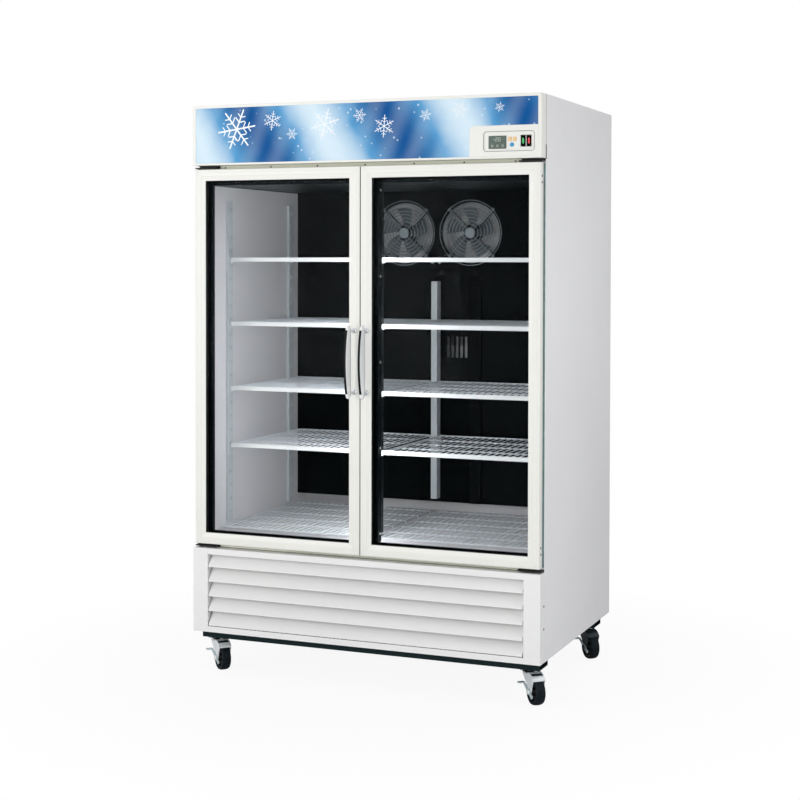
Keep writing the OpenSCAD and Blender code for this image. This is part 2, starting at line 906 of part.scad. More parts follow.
// A foot lever that turns on the axle's end: a bar from a low tail past the axle up to a tread
// plate that stands out sideways
module brake(side, depth) {
    ring_r = 9;
    bar_w = 8;
    tail_l = 30;
    tread_y = 2;
    tread_z = wheel_r + 22;
    tread_out = 20;
    tread_l = 18;
    tread_t = 4;
    reach = norm([tread_y + trail, tread_z - wheel_r]);
    x0 = -leg_out - gap - brake_t;
    color([0.6, 0.66, 0.68])
        at_caster(side, depth)
            difference() {
                union() {
                    translate([x0, 0, 0])
                        rotate([90, 0, 90])
                            linear_extrude(brake_t)
                                translate([-trail, wheel_r]) {
                                    circle(ring_r);
                                    rotate(atan2(tread_z - wheel_r, tread_y + trail))
                                        translate([-tail_l, -bar_w / 2])
                                            square([tail_l + reach, bar_w]);
                                }
                    translate([x0 - tread_out, tread_y - tread_l / 2, tread_z])
                        cube([tread_out + brake_t, tread_l, tread_t]);
                }
                axle_bar(axle_r + fit, [x0 - over, x0 + brake_t + over]);
            }
}

// ---- Doors: drawn on the right, mirrored for the left ----

module door_frame(side) {
    color([0.96, 0.96, 0.95])
        on_side(side)
            difference() {
                block([door_in, door_out], [0, door_t], [door_z0, door_z1]);
                block([glass_in, glass_out], [-over, door_t + over],
                    [door_z0 + stile_w, door_z1 - stile_w]);
                block([glass_in - lip_w, glass_out + lip_w], [-over, lip_step],
                    [door_z0 + stile_w - lip_w, door_z1 - stile_w + lip_w]);
                block([glass_in - glass_bite, glass_out + glass_bite],
                    [glass_recess, glass_recess + glass_t],
                    [door_z0 + stile_w - glass_bite, door_z1 - stile_w + glass_bite]);
                for (z = [door_z0 - over, door_z1 - pin_len - over])
                    translate([hinge_x, front_y + hinge_y, z])
                        cylinder(r = pin_r + fit, h = pin_len + 2 * over);
            }
}

module door_glass(side) {
    x = [glass_in - glass_bite, glass_out + glass_bite];
    z = [door_z0 + stile_w - glass_bite, door_z1 - stile_w + glass_bite];
    y = glass_recess;
    fill_hole = 1.5;
    color([0.75, 0.85, 0.88, 0.4])
        on_side(side)
            difference() {
                block(x, [y, y + glass_t], z);
                block([x[0] + spacer_w, x[1] - spacer_w], [y + pane_t, y + glass_t - pane_t],
                    [z[0] + spacer_w, z[1] - spacer_w]);
                translate([x[0] + 60, front_y + y + glass_t / 2, z[1] - spacer_w - over])
                    cylinder(r = fill_hole, h = spacer_w + 2 * over);
            }
}

module door_gasket(side) {
    color([0.22, 0.33, 0.34])
        on_side(side)
            along_y([door_t, door_t + gasket_room - gap])
                ring([door_in + gasket_inset, door_out - gasket_inset],
                    [door_z0 + gasket_inset, door_z1 - gasket_inset], gasket_w);
}

// The grip is a blade with a straight back and a bowed front, rounded at its ends
module door_handle(side) {
    chord = grip_len / 2;
    bow = grip_mid_d - grip_end_d;
    bow_r = (chord * chord + bow * bow) / (2 * bow);
    corner = 9;
    rosette_t = 3;
    color([0.93, 0.93, 0.93])
        on_side(side) {
            along_x([grip_x - grip_t / 2, grip_x + grip_t / 2])
                translate([0, mid_door_z])
                    intersection() {
                        round_rect([-handle_out, -grip_gap], [-chord, chord], corner);
                        translate([bow_r - handle_out, 0])
                            circle(bow_r, $fn = 360);
                    }
            for (z = [mid_door_z - post_pitch / 2, mid_door_z + post_pitch / 2]) {
                bar_y(post_x, z, post_r, [-grip_gap - 5, 0]);
                bar_y(post_x, z, rosette_r, [-rosette_t, 0]);
            }
        }
}

module hinge_brackets() {
    leg_t = 2;
    seat_r = bush_r;
    upper = [door_z1 + gap + 3, door_z1 + gap + 3 + hinge_t];
    lower = [door_z0 - gap - 6 - hinge_t, door_z0 - gap - 6];
    color([0.5, 0.52, 0.52])
        both_sides() {
            block([half_w - hinge_w, half_w - 2], [hinge_y - bush_r - 2, cab_y], upper);
            block([half_w - hinge_w, half_w - 2], [cab_y - leg_t, cab_y], [upper[0], header_z]);
            block([half_w - hinge_w, half_w - 2], [hinge_y - bush_r - 2, cab_y], lower);
            block([half_w - hinge_w, half_w - 2], [cab_y - leg_t, cab_y], [kick_z, lower[1]]);
            translate([hinge_x, front_y + hinge_y, 0]) {
                translate([0, 0, door_z1 + gap])
                    cylinder(r = seat_r, h = 3 + over);
                translate([0, 0, door_z1 - pin_len])
                    cylinder(r = pin_r, h = pin_len + gap + 3 + over);
                translate([0, 0, lower[1] - over])
                    cylinder(r = seat_r, h = 6 + over);
                translate([0, 0, lower[1] - over])
                    cylinder(r = pin_r, h = pin_len + gap + 6);
            }
        }
}

// ---- Inside the cold space ----

module slotted_strip(depth, x, z) {
    slots = floor((z[1] - z[0] - 40) / slot_pitch);
    slot_w = 5;
    slot_h = 16;
    along_x(x)
        difference() {
            rect(depth, z);
            for (i = [0 : slots], dy = [0.3, 0.7])
                translate([depth[0] + dy * (depth[1] - depth[0]) - slot_w / 2, z[0] + 20 + i * slot_pitch])
                    square([slot_w, slot_h]);
        }
}

module shelf_standards() {
    z = [standard_z0, standard_z1];
    front = [standard_front, standard_front + standard_w];
    rear = [standard_rear, standard_rear + standard_w];
    color([0.82, 0.84, 0.85]) {
        both_sides() {
            slotted_strip(front, [inside_x - standard_t, inside_x], z);
            slotted_strip(rear, [inside_x - standard_t, inside_x], z);
        }
        slotted_strip(front, [-standard_half, standard_half], [floor_z, ceiling_z]);
        slotted_strip([duct_y - standard_w, duct_y], [-standard_half, standard_half],
            [panel_z0 + 15, fan_z - guard_r - cover_room]);
    }
}

// Four clips carry each shelf: hooks with a sloping back that reach out of the standards
module clip(x, y, z) {
    translate([x, front_y + y, z])
        rotate([90, 0, 0])
            linear_extrude(clip_w)
                polygon([[0, 0], [0, -clip_h], [3, -clip_h], [clip_out, -4], [clip_out, 0]]);
}

module shelf_clips() {
    rear_y = standard_rear + standard_w / 2 + clip_w / 2;
    front_clip_y = shelf_front + clip_gap + clip_w;
    color("white")
        both_sides()
            for (z = shelf_z, y = [front_clip_y, rear_y]) {
                clip_z = floor_z + z - wire_t;
                translate([inside_x - standard_t, 0, 0])
                    mirror([1, 0, 0])
                        clip(0, y, clip_z);
                if (y == front_clip_y)
                    clip(standard_half, y, clip_z);
                else
                    clip(standard_half, duct_y - standard_w / 2 + clip_w / 2, clip_z);
            }
}

// A mat of wires: a rim, wires from front to back and two cross wires
module wire_mat(x, d, z) {
    pitch = (x[1] - x[0] - wire_t) / (wire_count + 1);
    span = d[1] - d[0];
    along_z([z - wire_t, z]) {
        ring(x, d, wire_t);
        for (i = [1 : wire_count])
            rect([x[0] + i * pitch, x[0] + i * pitch + wire_t], [d[0] + over, d[1] - over]);
        for (part = [1 / 3, 2 / 3])
            rect([x[0] + over, x[1] - over], [d[0] + part * span, d[0] + part * span + wire_t]);
    }
}

module wire_shelves() {
    rack_front = cab_y + max(collar_d, mullion_d) + rack_room;
    rack_out = inside_x - 4;
    foot = 10;
    color([0.93, 0.94, 0.95])
        both_sides() {
            for (z = shelf_z)
                wire_mat([shelf_in, shelf_out], [shelf_front, shelf_back], floor_z + z);
            difference() {
                union() {
                    wire_mat([standard_half + 4, rack_out], [rack_front, shelf_back], floor_z + rack_h);
                    for (x = [standard_half + 4, rack_out - foot])
                        block([x, x + foot], [rack_front, shelf_back], [floor_z, floor_z + rack_h - 1]);
                }
                block([inside_x - standard_t - side_gap, inside_x],
                    [standard_front - side_gap, standard_front + standard_w + side_gap],
                    [standard_z0 - side_gap, standard_z1]);
            }
        }
}

module price_rails() {
    color("white")
        both_sides()
            for (z = shelf_z)
                along_x([shelf_in, shelf_out])
                    polygon([
                        [shelf_front, floor_z + z - price_h + 2], [shelf_front, floor_z + z + 2],
                        [shelf_front - price_t / 2, floor_z + z + 2],
                        [shelf_front - price_t, floor_z + z - price_h + 2]
                    ]);
}

// The dark panel in front of the duct, with fan holes, return slots and a cable cover
module duct_panel() {
    slot_w = 9;
    slot_count = 5;
    slot_z = fan_z - coil_drop - coil_h + slot_drop;
    slot_h = 80;
    cover_x = 134;
    cover_w = 45;
    cover_d = 8;
    color([0.1, 0.14, 0.16])
        difference() {
            union() {
                block([-inside_x, inside_x], [duct_y, duct_y + duct_t], [panel_z0, ceiling_z]);
                block([cover_x, cover_x + cover_w], [duct_y - cover_d, duct_y + duct_t],
                    [panel_z0, fan_z - guard_r - cover_room]);
            }
            for (side = [-1, 1])
                bar_y(side * fan_half_pitch, fan_z, fan_hole_r, [duct_y - over, duct_y + duct_t + over]);
            for (i = [0 : slot_count - 1])
                block([40 + i * 2 * slot_w - over, 40 + i * 2 * slot_w + slot_w],
                    [duct_y - over, duct_y + duct_t + over], [slot_z - slot_h, slot_z]);
        }
}

// A motor on four arms that bend forward to the panel it hangs on
module arm_motor(x, z, reach, d) {
    arm_w = 8;
    arm_t = 3;
    back = d[0] + 20;
    bar_y(x, z, motor_r, d);
    bar_y(x, z, shaft_r, [d[0] - 14, d[0] + over]);
    for (turn = [0, 90])
        translate([x, 0, z])
            rotate([0, turn + 45, 0])
                block([-reach, reach], [back, back + arm_t], [-arm_w / 2, arm_w / 2]);
}

// A guard of round wires in front of each evaporator fan and the motor that turns it
module fan_mounts() {
    wire = 3;
    foot_r = 4;
    rings = [0.2, 0.4, 0.6, 0.8, 1];
    reach = fan_hole_r + 8;
    color([0.7, 0.72, 0.74])
        for (side = [-1, 1]) {
            along_y([guard_y, guard_y + wire])
                translate([side * fan_half_pitch, fan_z]) {
                    for (k = rings)
                        difference() {
                            circle(guard_r * k, $fn = 96);
                            circle(guard_r * k - wire, $fn = 96);
                        }
                    for (turn = [45, 135])
                        rotate(turn)
                            translate([over - guard_r, -wire / 2])
                                square([2 * (guard_r - over), wire]);
                }
            arm_motor(side * fan_half_pitch, fan_z, reach, [motor_y, motor_y + motor_l]);
            for (turn = [45 : 90 : 315]) {
                bar_y(side * fan_half_pitch + (guard_r - foot_r) * cos(turn),
                    fan_z + (guard_r - foot_r) * sin(turn), foot_r, [guard_y + 1, duct_y]);
                bar_y(side * fan_half_pitch + (reach - 5) * cos(turn), fan_z + (reach - 5) * sin(turn),
                    4, [duct_y + duct_t, motor_y + 20 + over]);
            }
        }
}

module fan_blades(x, z, r, d, hub_r, count) {
    pitch_angle = 32;
    blade_t = 2;
    width = (d[1] - d[0]) / sin(pitch_angle) * 0.88;
    difference() {
        union() {
            bar_y(x, z, hub_r, d);
            translate([x, front_y + (d[0] + d[1]) / 2, z])
                for (i = [0 : count - 1])
                    rotate([0, i * 360 / count, 0])
                        rotate([pitch_angle, 0, 0])
                            translate([hub_r - 4, -blade_t / 2, -width / 2])
                                cube([r - hub_r, blade_t, width]);
        }
        bar_y(x, z, shaft_r + fit, [d[0] + 4, d[1] + over]);
    }
}

module duct_fan(side) {
    color([0.5, 0.55, 0.6])
        fan_blades(side * fan_half_pitch, fan_z, fan_r, [fan_y, fan_y + fan_t], fan_hub_r, 5);
}

module evaporator() {
    coil_half = inside_x - coil_end;
    coil = [fan_z - coil_drop - coil_h, fan_z - coil_drop];
    fin_count = 28;
    fin_t = 2;
    step = 2 * coil_half / (fin_count - 1);
    tube_r = 5;
    y = inside_back - coil_d;
    color([0.75, 0.77, 0.79]) {
        for (i = [0 : fin_count - 1])
            block([i * step - coil_half - fin_t / 2, i * step - coil_half + fin_t / 2],
                [y, inside_back], coil);
        for (row = [0.15, 0.38, 0.62, 0.85])
            bar_x([-coil_half - 15, coil_half + 15], y + coil_d / 2,
                coil[0] + row * (coil[1] - coil[0]), tube_r);
    }
}

// ---- Machine space ----

module compressor() {
    x = compressor_x;
    y = rail_front + compressor_depth;
    body_z = pan_z + 22;
    body_h = 95;
    dome_r = 38;
    foot_half = 105;
    foot_t = 4;
    grommet_r = 13;
    stub_r = 5;
    color([0.12, 0.12, 0.13]) {
        translate([x, front_y + y, 0]) {
            translate([0, 0, body_z])
                rotate_extrude()
                    union() {
                        square([compressor_r, body_h]);
                        square([compressor_r - dome_r, body_h + dome_r]);
                        translate([compressor_r - dome_r, body_h])
                            intersection() {
                                circle(dome_r);
                                square([dome_r, dome_r]);
                            }
                    }
            translate([-foot_half, -foot_half * 0.7, body_z - foot_t])
                cube([2 * foot_half, 1.4 * foot_half, foot_t + over]);
            for (sx = [-1, 1], sy = [-1, 1])
                translate([sx * (foot_half - 16), sy * (foot_half * 0.7 - 16), pan_z])
                    cylinder(r = grommet_r, h = body_z - pan_z - foot_t + over);
            translate([-compressor_r - 30, 20, body_z + 70])
                rotate([0, 90, 0])
                    cylinder(r = stub_r, h = 60);
        }
    }
}

module condenser() {
    fin_count = 30;
    fin_t = 2;
    step = (condenser_w - fin_t) / (fin_count - 1);
    x0 = condenser_x - condenser_w / 2;
    tube_r = 4.5;
    color([0.3, 0.31, 0.32]) {
        for (i = [0 : fin_count - 1])
            block([x0 + i * step, x0 + i * step + fin_t], [condenser_y, shroud_y],
                [pan_z, pan_z + condenser_h]);
        for (row = [0.1 : 0.2 : 0.9])
            bar_x([x0 - 12, x0 + condenser_w + 12], condenser_y + condenser_d / 2,
                pan_z + row * condenser_h, tube_r);
    }
}

module condenser_shroud() {
    plate = 2;
    collar = 28;
    motor_d = [shroud_y + fan_motor_room, shroud_y + fan_motor_room + fan_motor_l];
    hole_r = condenser_fan_r + 5;
    reach = hole_r + 8;
    color([0.2, 0.21, 0.22]) {
        along_y([shroud_y, shroud_y + plate])
            difference() {
                rect([condenser_x - condenser_w / 2, condenser_x + condenser_w / 2],
                    [pan_z, pan_z + condenser_h]);
                translate([condenser_x, shroud_z])
                    circle(hole_r, $fn = 96);
            }
        along_y([shroud_y, shroud_y + collar])
            translate([condenser_x, shroud_z])
                difference() {
                    circle(hole_r + plate, $fn = 96);
                    circle(hole_r, $fn = 96);
                }
        arm_motor(condenser_x, shroud_z, reach, motor_d);
        for (turn = [45 : 90 : 315])
            bar_y(condenser_x + (reach - 1) * cos(turn), shroud_z + (reach - 1) * sin(turn), 4,
                [shroud_y + plate - over, motor_d[0] + 20 + over]);
    }
}

module condenser_fan() {
    color([0.55, 0.57, 0.6])
        fan_blades(condenser_x, shroud_z, condenser_fan_r, [shroud_y + 14, shroud_y + 36],
            fan_hub_r, 5);
}

module condensate_pan() {
    x = [condenser_x - pan_w / 2 + pan_shift, condenser_x + pan_w / 2 + pan_shift];
    d = [pan_back - pan_d, pan_back];
    t = 2;
    color([0.35, 0.36, 0.37])
        difference() {
            block(x, d, [pan_z, pan_z + pan_h]);
            block([x[0] + t, x[1] - t], [d[0] + t, d[1] - t], [pan_z + t, pan_z + pan_h + over]);
        }
}

// The grommet in the back panel through which a supply cord would leave
module cord_gland() {
    flange_t = 4;
    color([0.08, 0.08, 0.09])
        difference() {
            union() {
                bar_y(gland_x, gland_z, gland_r, [back_y - skin_t - 12, back_y]);
                bar_y(gland_x, gland_z, gland_r + 4, [back_y - skin_t - flange_t, back_y - skin_t]);
            }
            bar_y(gland_x, gland_z, gland_r - 4, [back_y - skin_t - 12 - over, back_y + over]);
        }
}

side_panel(-1);  // left_side_panel
side_panel(1);  // right_side_panel
top_panel();
back_panel();
insulation();
inner_liner();
face_frame();
centre_mullion();
case_screws();
header_case();
header_sign();
lamps();
control_bezel();
control_panel();
corner_posts();
louvre_grille();
base_rails();
base_pan();
caster_plates();
hinge_brackets();
shelf_standards();
shelf_clips();
wire_shelves();
price_rails();
duct_panel();
fan_mounts();
evaporator();
compressor();
condenser();
condenser_shroud();
condensate_pan();
cord_gland();
door_frame(-1);  // left_door_frame
door_glass(-1);  // left_door_glass
door_gasket(-1);  // left_door_gasket
door_handle(-1);  // left_door_handle
door_frame(1);  // right_door_frame
door_glass(1);  // right_door_glass
door_gasket(1);  // right_door_gasket
door_handle(1);  // right_door_handle
duct_fan(-1);  // left_fan
duct_fan(1);  // right_fan
condenser_fan();
rocker(0);  // green_rocker
rocker(1);  // red_rocker
square_button(0);  // left_square_button
square_button(1);  // right_square_button
round_button();
fork(-1, caster_front);  // front_left_fork
wheel(-1, caster_front);  // front_left_wheel
brake(-1, caster_front);  // front_left_brake
fork(1, caster_front);  // front_right_fork
wheel(1, caster_front);  // front_right_wheel
brake(1, caster_front);  // front_right_brake
fork(-1, caster_back);  // rear_left_fork
wheel(-1, caster_back);  // rear_left_wheel
brake(-1, caster_back);  // rear_left_brake
fork(1, caster_back);  // rear_right_fork
wheel(1, caster_back);  // rear_right_wheel
brake(1, caster_back);  // rear_right_brake
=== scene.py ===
"""Dresses a two-door glass-front freezer on casters: painted steel, glass doors, wire shelves.

Lengths are in metres in the frame's own axes: +X to the viewer's right, -Y out of the doors, +Z up.
"""

import json
import math

import bmesh
import bpy
import numpy as np
from bpy.props import FloatProperty, FloatVectorProperty, IntProperty, PointerProperty
from mathutils import Matrix, Vector

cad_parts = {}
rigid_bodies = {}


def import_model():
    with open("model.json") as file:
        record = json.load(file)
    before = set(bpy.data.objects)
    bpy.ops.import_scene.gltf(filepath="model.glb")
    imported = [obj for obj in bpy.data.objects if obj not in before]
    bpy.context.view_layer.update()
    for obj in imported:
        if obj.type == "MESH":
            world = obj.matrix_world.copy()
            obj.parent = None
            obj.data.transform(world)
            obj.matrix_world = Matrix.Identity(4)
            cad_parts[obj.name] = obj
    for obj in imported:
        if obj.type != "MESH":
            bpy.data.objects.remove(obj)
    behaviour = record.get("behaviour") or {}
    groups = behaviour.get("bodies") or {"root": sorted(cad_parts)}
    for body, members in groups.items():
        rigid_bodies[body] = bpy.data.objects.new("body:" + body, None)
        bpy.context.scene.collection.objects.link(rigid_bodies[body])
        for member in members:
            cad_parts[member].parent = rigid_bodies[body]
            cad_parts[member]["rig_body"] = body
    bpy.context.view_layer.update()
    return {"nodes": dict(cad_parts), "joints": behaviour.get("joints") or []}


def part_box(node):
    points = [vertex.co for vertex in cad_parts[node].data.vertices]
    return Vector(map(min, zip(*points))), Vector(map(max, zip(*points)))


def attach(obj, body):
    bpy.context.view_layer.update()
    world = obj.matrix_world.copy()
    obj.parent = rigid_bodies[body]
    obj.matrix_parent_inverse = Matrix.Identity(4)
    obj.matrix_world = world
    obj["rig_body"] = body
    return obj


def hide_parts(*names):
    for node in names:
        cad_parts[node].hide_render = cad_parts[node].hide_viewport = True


bl_info = {
    "name": "Two-door freezer",
    "version": (1, 0, 0),
    "blender": (4, 5, 0),
    "location": "View3D > Sidebar > Freezer",
    "description": "Dresses a glass-front freezer in painted steel, glass and coated wire",
    "category": "Add Mesh",
}

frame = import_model()
NODES = frame["nodes"]
JOINTS = {joint["name"]: joint for joint in frame["joints"]}
MM = 0.001
SIDES = {"left": -1, "right": 1}
ROCKERS = ("green_rocker", "red_rocker")


# ---------------------------------------------------------------- sizes and colours


def length(name, description, default, low=0.0):
    return FloatProperty(
        name=name, description=description, default=default, min=low, unit="LENGTH")


def colour(name, description, red, green, blue):
    """A colour property whose default is given as it looks on screen, from 0 to 255."""
    return FloatVectorProperty(
        name=name, description=description, subtype="COLOR", size=3, min=0, max=1,
        default=[linear(value) for value in (red, green, blue)])


def linear(value):
    """The linear share of light for a screen value from 0 to 255, by the sRGB curve."""
    share = value / 255
    return share / 12.92 if share <= 0.04045 else ((share + 0.055) / 1.055) ** 2.4


def screen(red, green, blue):
    return (linear(red), linear(green), linear(blue), 1.0)


class FreezerSizes(bpy.types.PropertyGroup):
    edge: length("Sheet edge", "Radius at the folds of the sheet metal", 2.5 * MM)
    mitre: length("Mitre seam", "Gap at the mitres of the door frames", 0.25 * MM)
    border: length("Glass border", "How far the black border reaches past the door frame", 5.5 * MM)
    wire: length("Shelf wire", "Radius of a wire of the shelves", 2.1 * MM)
    rim_wire: length("Rim wire", "Radius of the wire round a shelf", 3 * MM)
    wire_count: IntProperty(name="Wires", description="Wires across a shelf", default=22, min=4)
    guard_wire: length("Guard wire", "Radius of the wire of the fan guards", 1.4 * MM)
    guard_rings: IntProperty(
        name="Guard rings", description="Rings of a fan guard", default=9, min=3)
    blade_count: IntProperty(name="Blades", description="Blades of a fan", default=5, min=3)
    flake: length("Largest flake", "Radius of the largest snowflake on the sign", 72 * MM)


class FreezerColours(bpy.types.PropertyGroup):
    cabinet: colour("Cabinet", "Paint of the cabinet", 236, 236, 238)
    trim: colour("Trim", "White plastic of the header and doors", 237, 237, 232)
    kick: colour("Kick plate", "Paint of the louvres and posts", 238, 238, 238)
    liner: colour("Liner", "Inside walls", 216, 213, 215)
    dark: colour("Dark trim", "Breaker collar, mullion and duct panel", 12, 20, 22)
    rail: colour("Base rail", "Paint of the base rails", 16, 34, 37)
    gasket: colour("Gasket", "Rubber of the door seals", 60, 88, 90)
    deep: colour("Sign deep", "Deepest blue of the sign's waves", 16, 84, 150)
    middle: colour("Sign middle", "Blue between the crests", 90, 158, 208)
    pale: colour("Sign pale", "Pale blue of the crests and the snow", 214, 234, 246)


class FreezerLight(bpy.types.PropertyGroup):
    key: FloatProperty(name="Key", description="Key lamp", default=93, min=0, unit="POWER")
    fill: FloatProperty(name="Fill", description="Front lamp", default=42, min=0, unit="POWER")
    side: FloatProperty(
        name="Side", description="Lamp beside the panel", default=9.5, min=0, unit="POWER")
    sky: FloatProperty(name="Sky", description="Strength of the world's light", default=0.5, min=0)
    focal: length("Focal length", "Lens of the camera, on a 36 mm sensor", 71.475 * MM)


# ---------------------------------------------------------------- shapes


def arc(centre, radius, start, end, steps=7):
    """Points on a circle about centre, evenly spaced in angle from start to end, in degrees."""
    turn = np.radians(np.linspace(start, end, steps))
    return np.stack([centre[0] + radius * np.cos(turn), centre[1] + radius * np.sin(turn)], 1)


def rounded(low, high, radius, steps=6):
    """A rectangle's outline whose corners are quarter circles of that radius, anticlockwise."""
    spots = (((high[0], high[1]), (-1, -1), 0), ((low[0], high[1]), (1, -1), 90),
             ((low[0], low[1]), (1, 1), 180), ((high[0], low[1]), (-1, 1), 270))
    return np.concatenate([
        arc((corner[0] + radius * way[0], corner[1] + radius * way[1]), radius, turn, turn + 90,
            steps)
        for corner, way, turn in spots])


def disc(centre, radius, steps=24):
    return arc(centre, radius, 0, 360, steps + 1)[:-1]


def mm(*rows):
    """Lengths given in millimetres, or rows of them, in metres."""
    return np.array(rows, float) * MM


def bend(start, corner, end, steps):
    """A quadratic curve from start to end that leans towards the corner."""
    share = np.linspace(0, 1, steps)[:, None]
    return (1 - share) ** 2 * start + 2 * share * (1 - share) * corner + share ** 2 * end


def beside(low, high):
    """The nearer and the further distance of a box from the middle of the freezer, along X."""
    return sorted((abs(low.x), abs(high.x)))


def lift(outline, axis, along):
    """Puts a flat outline at a place on an axis: (y, z) for x, (x, z) for y and (x, y) for z."""
    outline = np.asarray(outline, float)
    return np.insert(outline, "xyz".index(axis), along, axis=1)


def unit(vector):
    vector = np.asarray(vector, float)
    return vector / np.linalg.norm(vector, axis=-1, keepdims=True)


class Shape:
    """Gathers the patches of one piece, each with the number of its paint."""

    def __init__(self):
        self.points, self.faces, self.paints, self.count = [], [], [], 0

    def add(self, points, faces, paint=0):
        points = np.asarray(points, float).reshape(-1, 3)
        for rows in faces:
            rows = np.asarray(rows) + self.count
            self.faces += rows.tolist()
            self.paints += [paint] * len(rows)
        self.points.append(points)
        self.count += len(points)
        return self

    def grid(self, points, wrap_rows=False, wrap_columns=False, paint=0):
        """Quads between neighbours in an array of rows by columns of points."""
        rows, columns = points.shape[:2]
        index = np.arange(rows * columns).reshape(rows, columns)
        if wrap_rows:
            index = np.concatenate([index, index[:1]])
        if wrap_columns:
            index = np.concatenate([index, index[:, :1]], 1)
        quads = np.stack([index[:-1, :-1], index[1:, :-1], index[1:, 1:], index[:-1, 1:]], -1)
        return self.add(points, [quads.reshape(-1, 4)], paint)

    def loft(self, rings, paint=0):
        """A skin over closed rings of equal count, with a flat face on the first and the last."""
        rings = np.asarray(rings, float)
        count = rings.shape[1]
        self.grid(rings, wrap_columns=True, paint=paint)
        self.add(rings[0], [np.arange(count)[None]], paint)
        return self.add(rings[-1], [np.arange(count)[None]], paint)

    def prism(self, outline, axis, low, high, paint=0):
        """A closed outline carried straight along an axis from low to high."""
        return self.loft([lift(outline, axis, low), lift(outline, axis, high)], paint)

    def block(self, low, high, paint=0):
        outline = [(low[0], low[1]), (high[0], low[1]), (high[0], high[1]), (low[0], high[1])]
        return self.prism(outline, "z", low[2], high[2], paint)

    def tube(self, path, radius, sides=10, up=(0, 0, 1), closed=False, paint=0):
        """A circle carried along a path, each ring square to the path's own direction there."""
        path = np.asarray(path, float)
        ahead = np.roll(path, -1, 0) - np.roll(path, 1, 0) if closed else np.gradient(path, axis=0)
        ahead = unit(ahead)
        side = unit(np.cross(ahead, up))
        rise = np.cross(side, ahead)
        turn = np.linspace(0, 2 * np.pi, sides, endpoint=False)
        radius = np.broadcast_to(radius, len(path))[:, None, None]
        rings = path[:, None] + radius * (np.cos(turn)[:, None] * side[:, None]
                                          + np.sin(turn)[:, None] * rise[:, None])
        if closed:
            return self.grid(rings, wrap_rows=True, wrap_columns=True, paint=paint)
        return self.loft(rings, paint)

    def ring(self, centre, axis, radius, thickness, steps=72, sides=8, paint=0):
        """A torus: a circle of wire about an axis, x, y or z."""
        flat = disc((0, 0), radius, steps)
        path = lift(flat, axis, 0) + np.asarray(centre)
        up = np.eye(3)["xyz".index(axis)]
        return self.tube(path, thickness, sides, up, closed=True, paint=paint)

    def lathe(self, profile, centre, axis, sides=40, paint=0):
        """A profile of (radius, height) turned about an axis; ends at radius 0 close to a point."""
        profile = np.asarray(profile, float)
        axis = unit(axis)
        across = unit(np.cross(axis, (0, 0, 1) if abs(axis[2]) < 0.9 else (1, 0, 0)))
        over = np.cross(axis, across)
        turn = np.linspace(0, 2 * np.pi, sides, endpoint=False)[None, :, None]
        radius = profile[:, 0][:, None, None]
        rings = np.asarray(centre) + radius * (np.cos(turn) * across + np.sin(turn) * over)
        rings = rings + profile[:, 1][:, None, None] * axis
        return self.grid(rings, wrap_columns=True, paint=paint)

    def mitred(self, low, high, profile, seam=0.0, paint=0):
        """Four members round a rectangle in X and Z. A profile point is its inset from the outer
        edge and its depth; the members' ends are cut at 45 degrees with a seam between them."""
        inset, depth = np.asarray(profile, float).T
        corners = np.stack([
            np.stack([low[0] + inset, depth, low[1] + inset], 1),
            np.stack([high[0] - inset, depth, low[1] + inset], 1),
            np.stack([high[0] - inset, depth, high[1] - inset], 1),
            np.stack([low[0] + inset, depth, high[1] - inset], 1)])
        for start, end in zip(corners, np.roll(corners, -1, 0)):
            way = unit(end[0] - start[0]) * seam
            self.loft([start + way, end - way], paint)
        return self

    def mesh(self, name, paints):
        """The patches as a mesh, with one material for each paint number."""
        mesh = bpy.data.meshes.new(name)
        mesh.from_pydata(np.concatenate(self.points).tolist(), [], self.faces)
        for paint in paints:
            mesh.materials.append(paint)
        mesh.polygons.foreach_set("material_index", np.array(self.paints, np.int32))
        return mesh


def put(name, data):
    """A new object of the scene that holds this data."""
    made = bpy.data.objects.new(name, data)
    bpy.context.scene.collection.objects.link(made)
    return made


def finish_mesh(mesh, angle=38, merge=True):
    """Merges doubles, turns closed shells outwards and shades smooth below an angle."""
    work = bmesh.new()
    work.from_mesh(mesh)
    if merge:
        bmesh.ops.remove_doubles(work, verts=work.verts, dist=2e-6)
        bmesh.ops.recalc_face_normals(work, faces=work.faces)
    work.to_mesh(mesh)
    work.free()
    mesh.polygons.foreach_set("use_smooth", np.ones(len(mesh.polygons), bool))
    mesh.set_sharp_from_angle(angle=math.radians(angle))


def soften(piece, width, segments=2):
    """Rounds the edges of a piece with a Bevel modifier."""
    edges = piece.modifiers.new("Edges", "BEVEL")
    edges.width = width
    edges.segments = segments
    edges.limit_method = "ANGLE"
    edges.angle_limit = math.radians(40)
    edges.harden_normals = True


def settle(piece, body, nodes=()):
    """Lets a piece ride on a body, in place of CAD nodes, which it hides."""
    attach(piece, body)
    if nodes:
        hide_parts(*nodes)
    return piece


def build(name, shape, body, paints, nodes=(), edge=0.0, angle=38):
    """Makes a piece from a shape, with one material for each paint number."""
    mesh = shape.mesh(name, paints)
    finish_mesh(mesh, angle)
    piece = put(name, mesh)
    if edge:
        soften(piece, edge)
    return settle(piece, body, nodes)


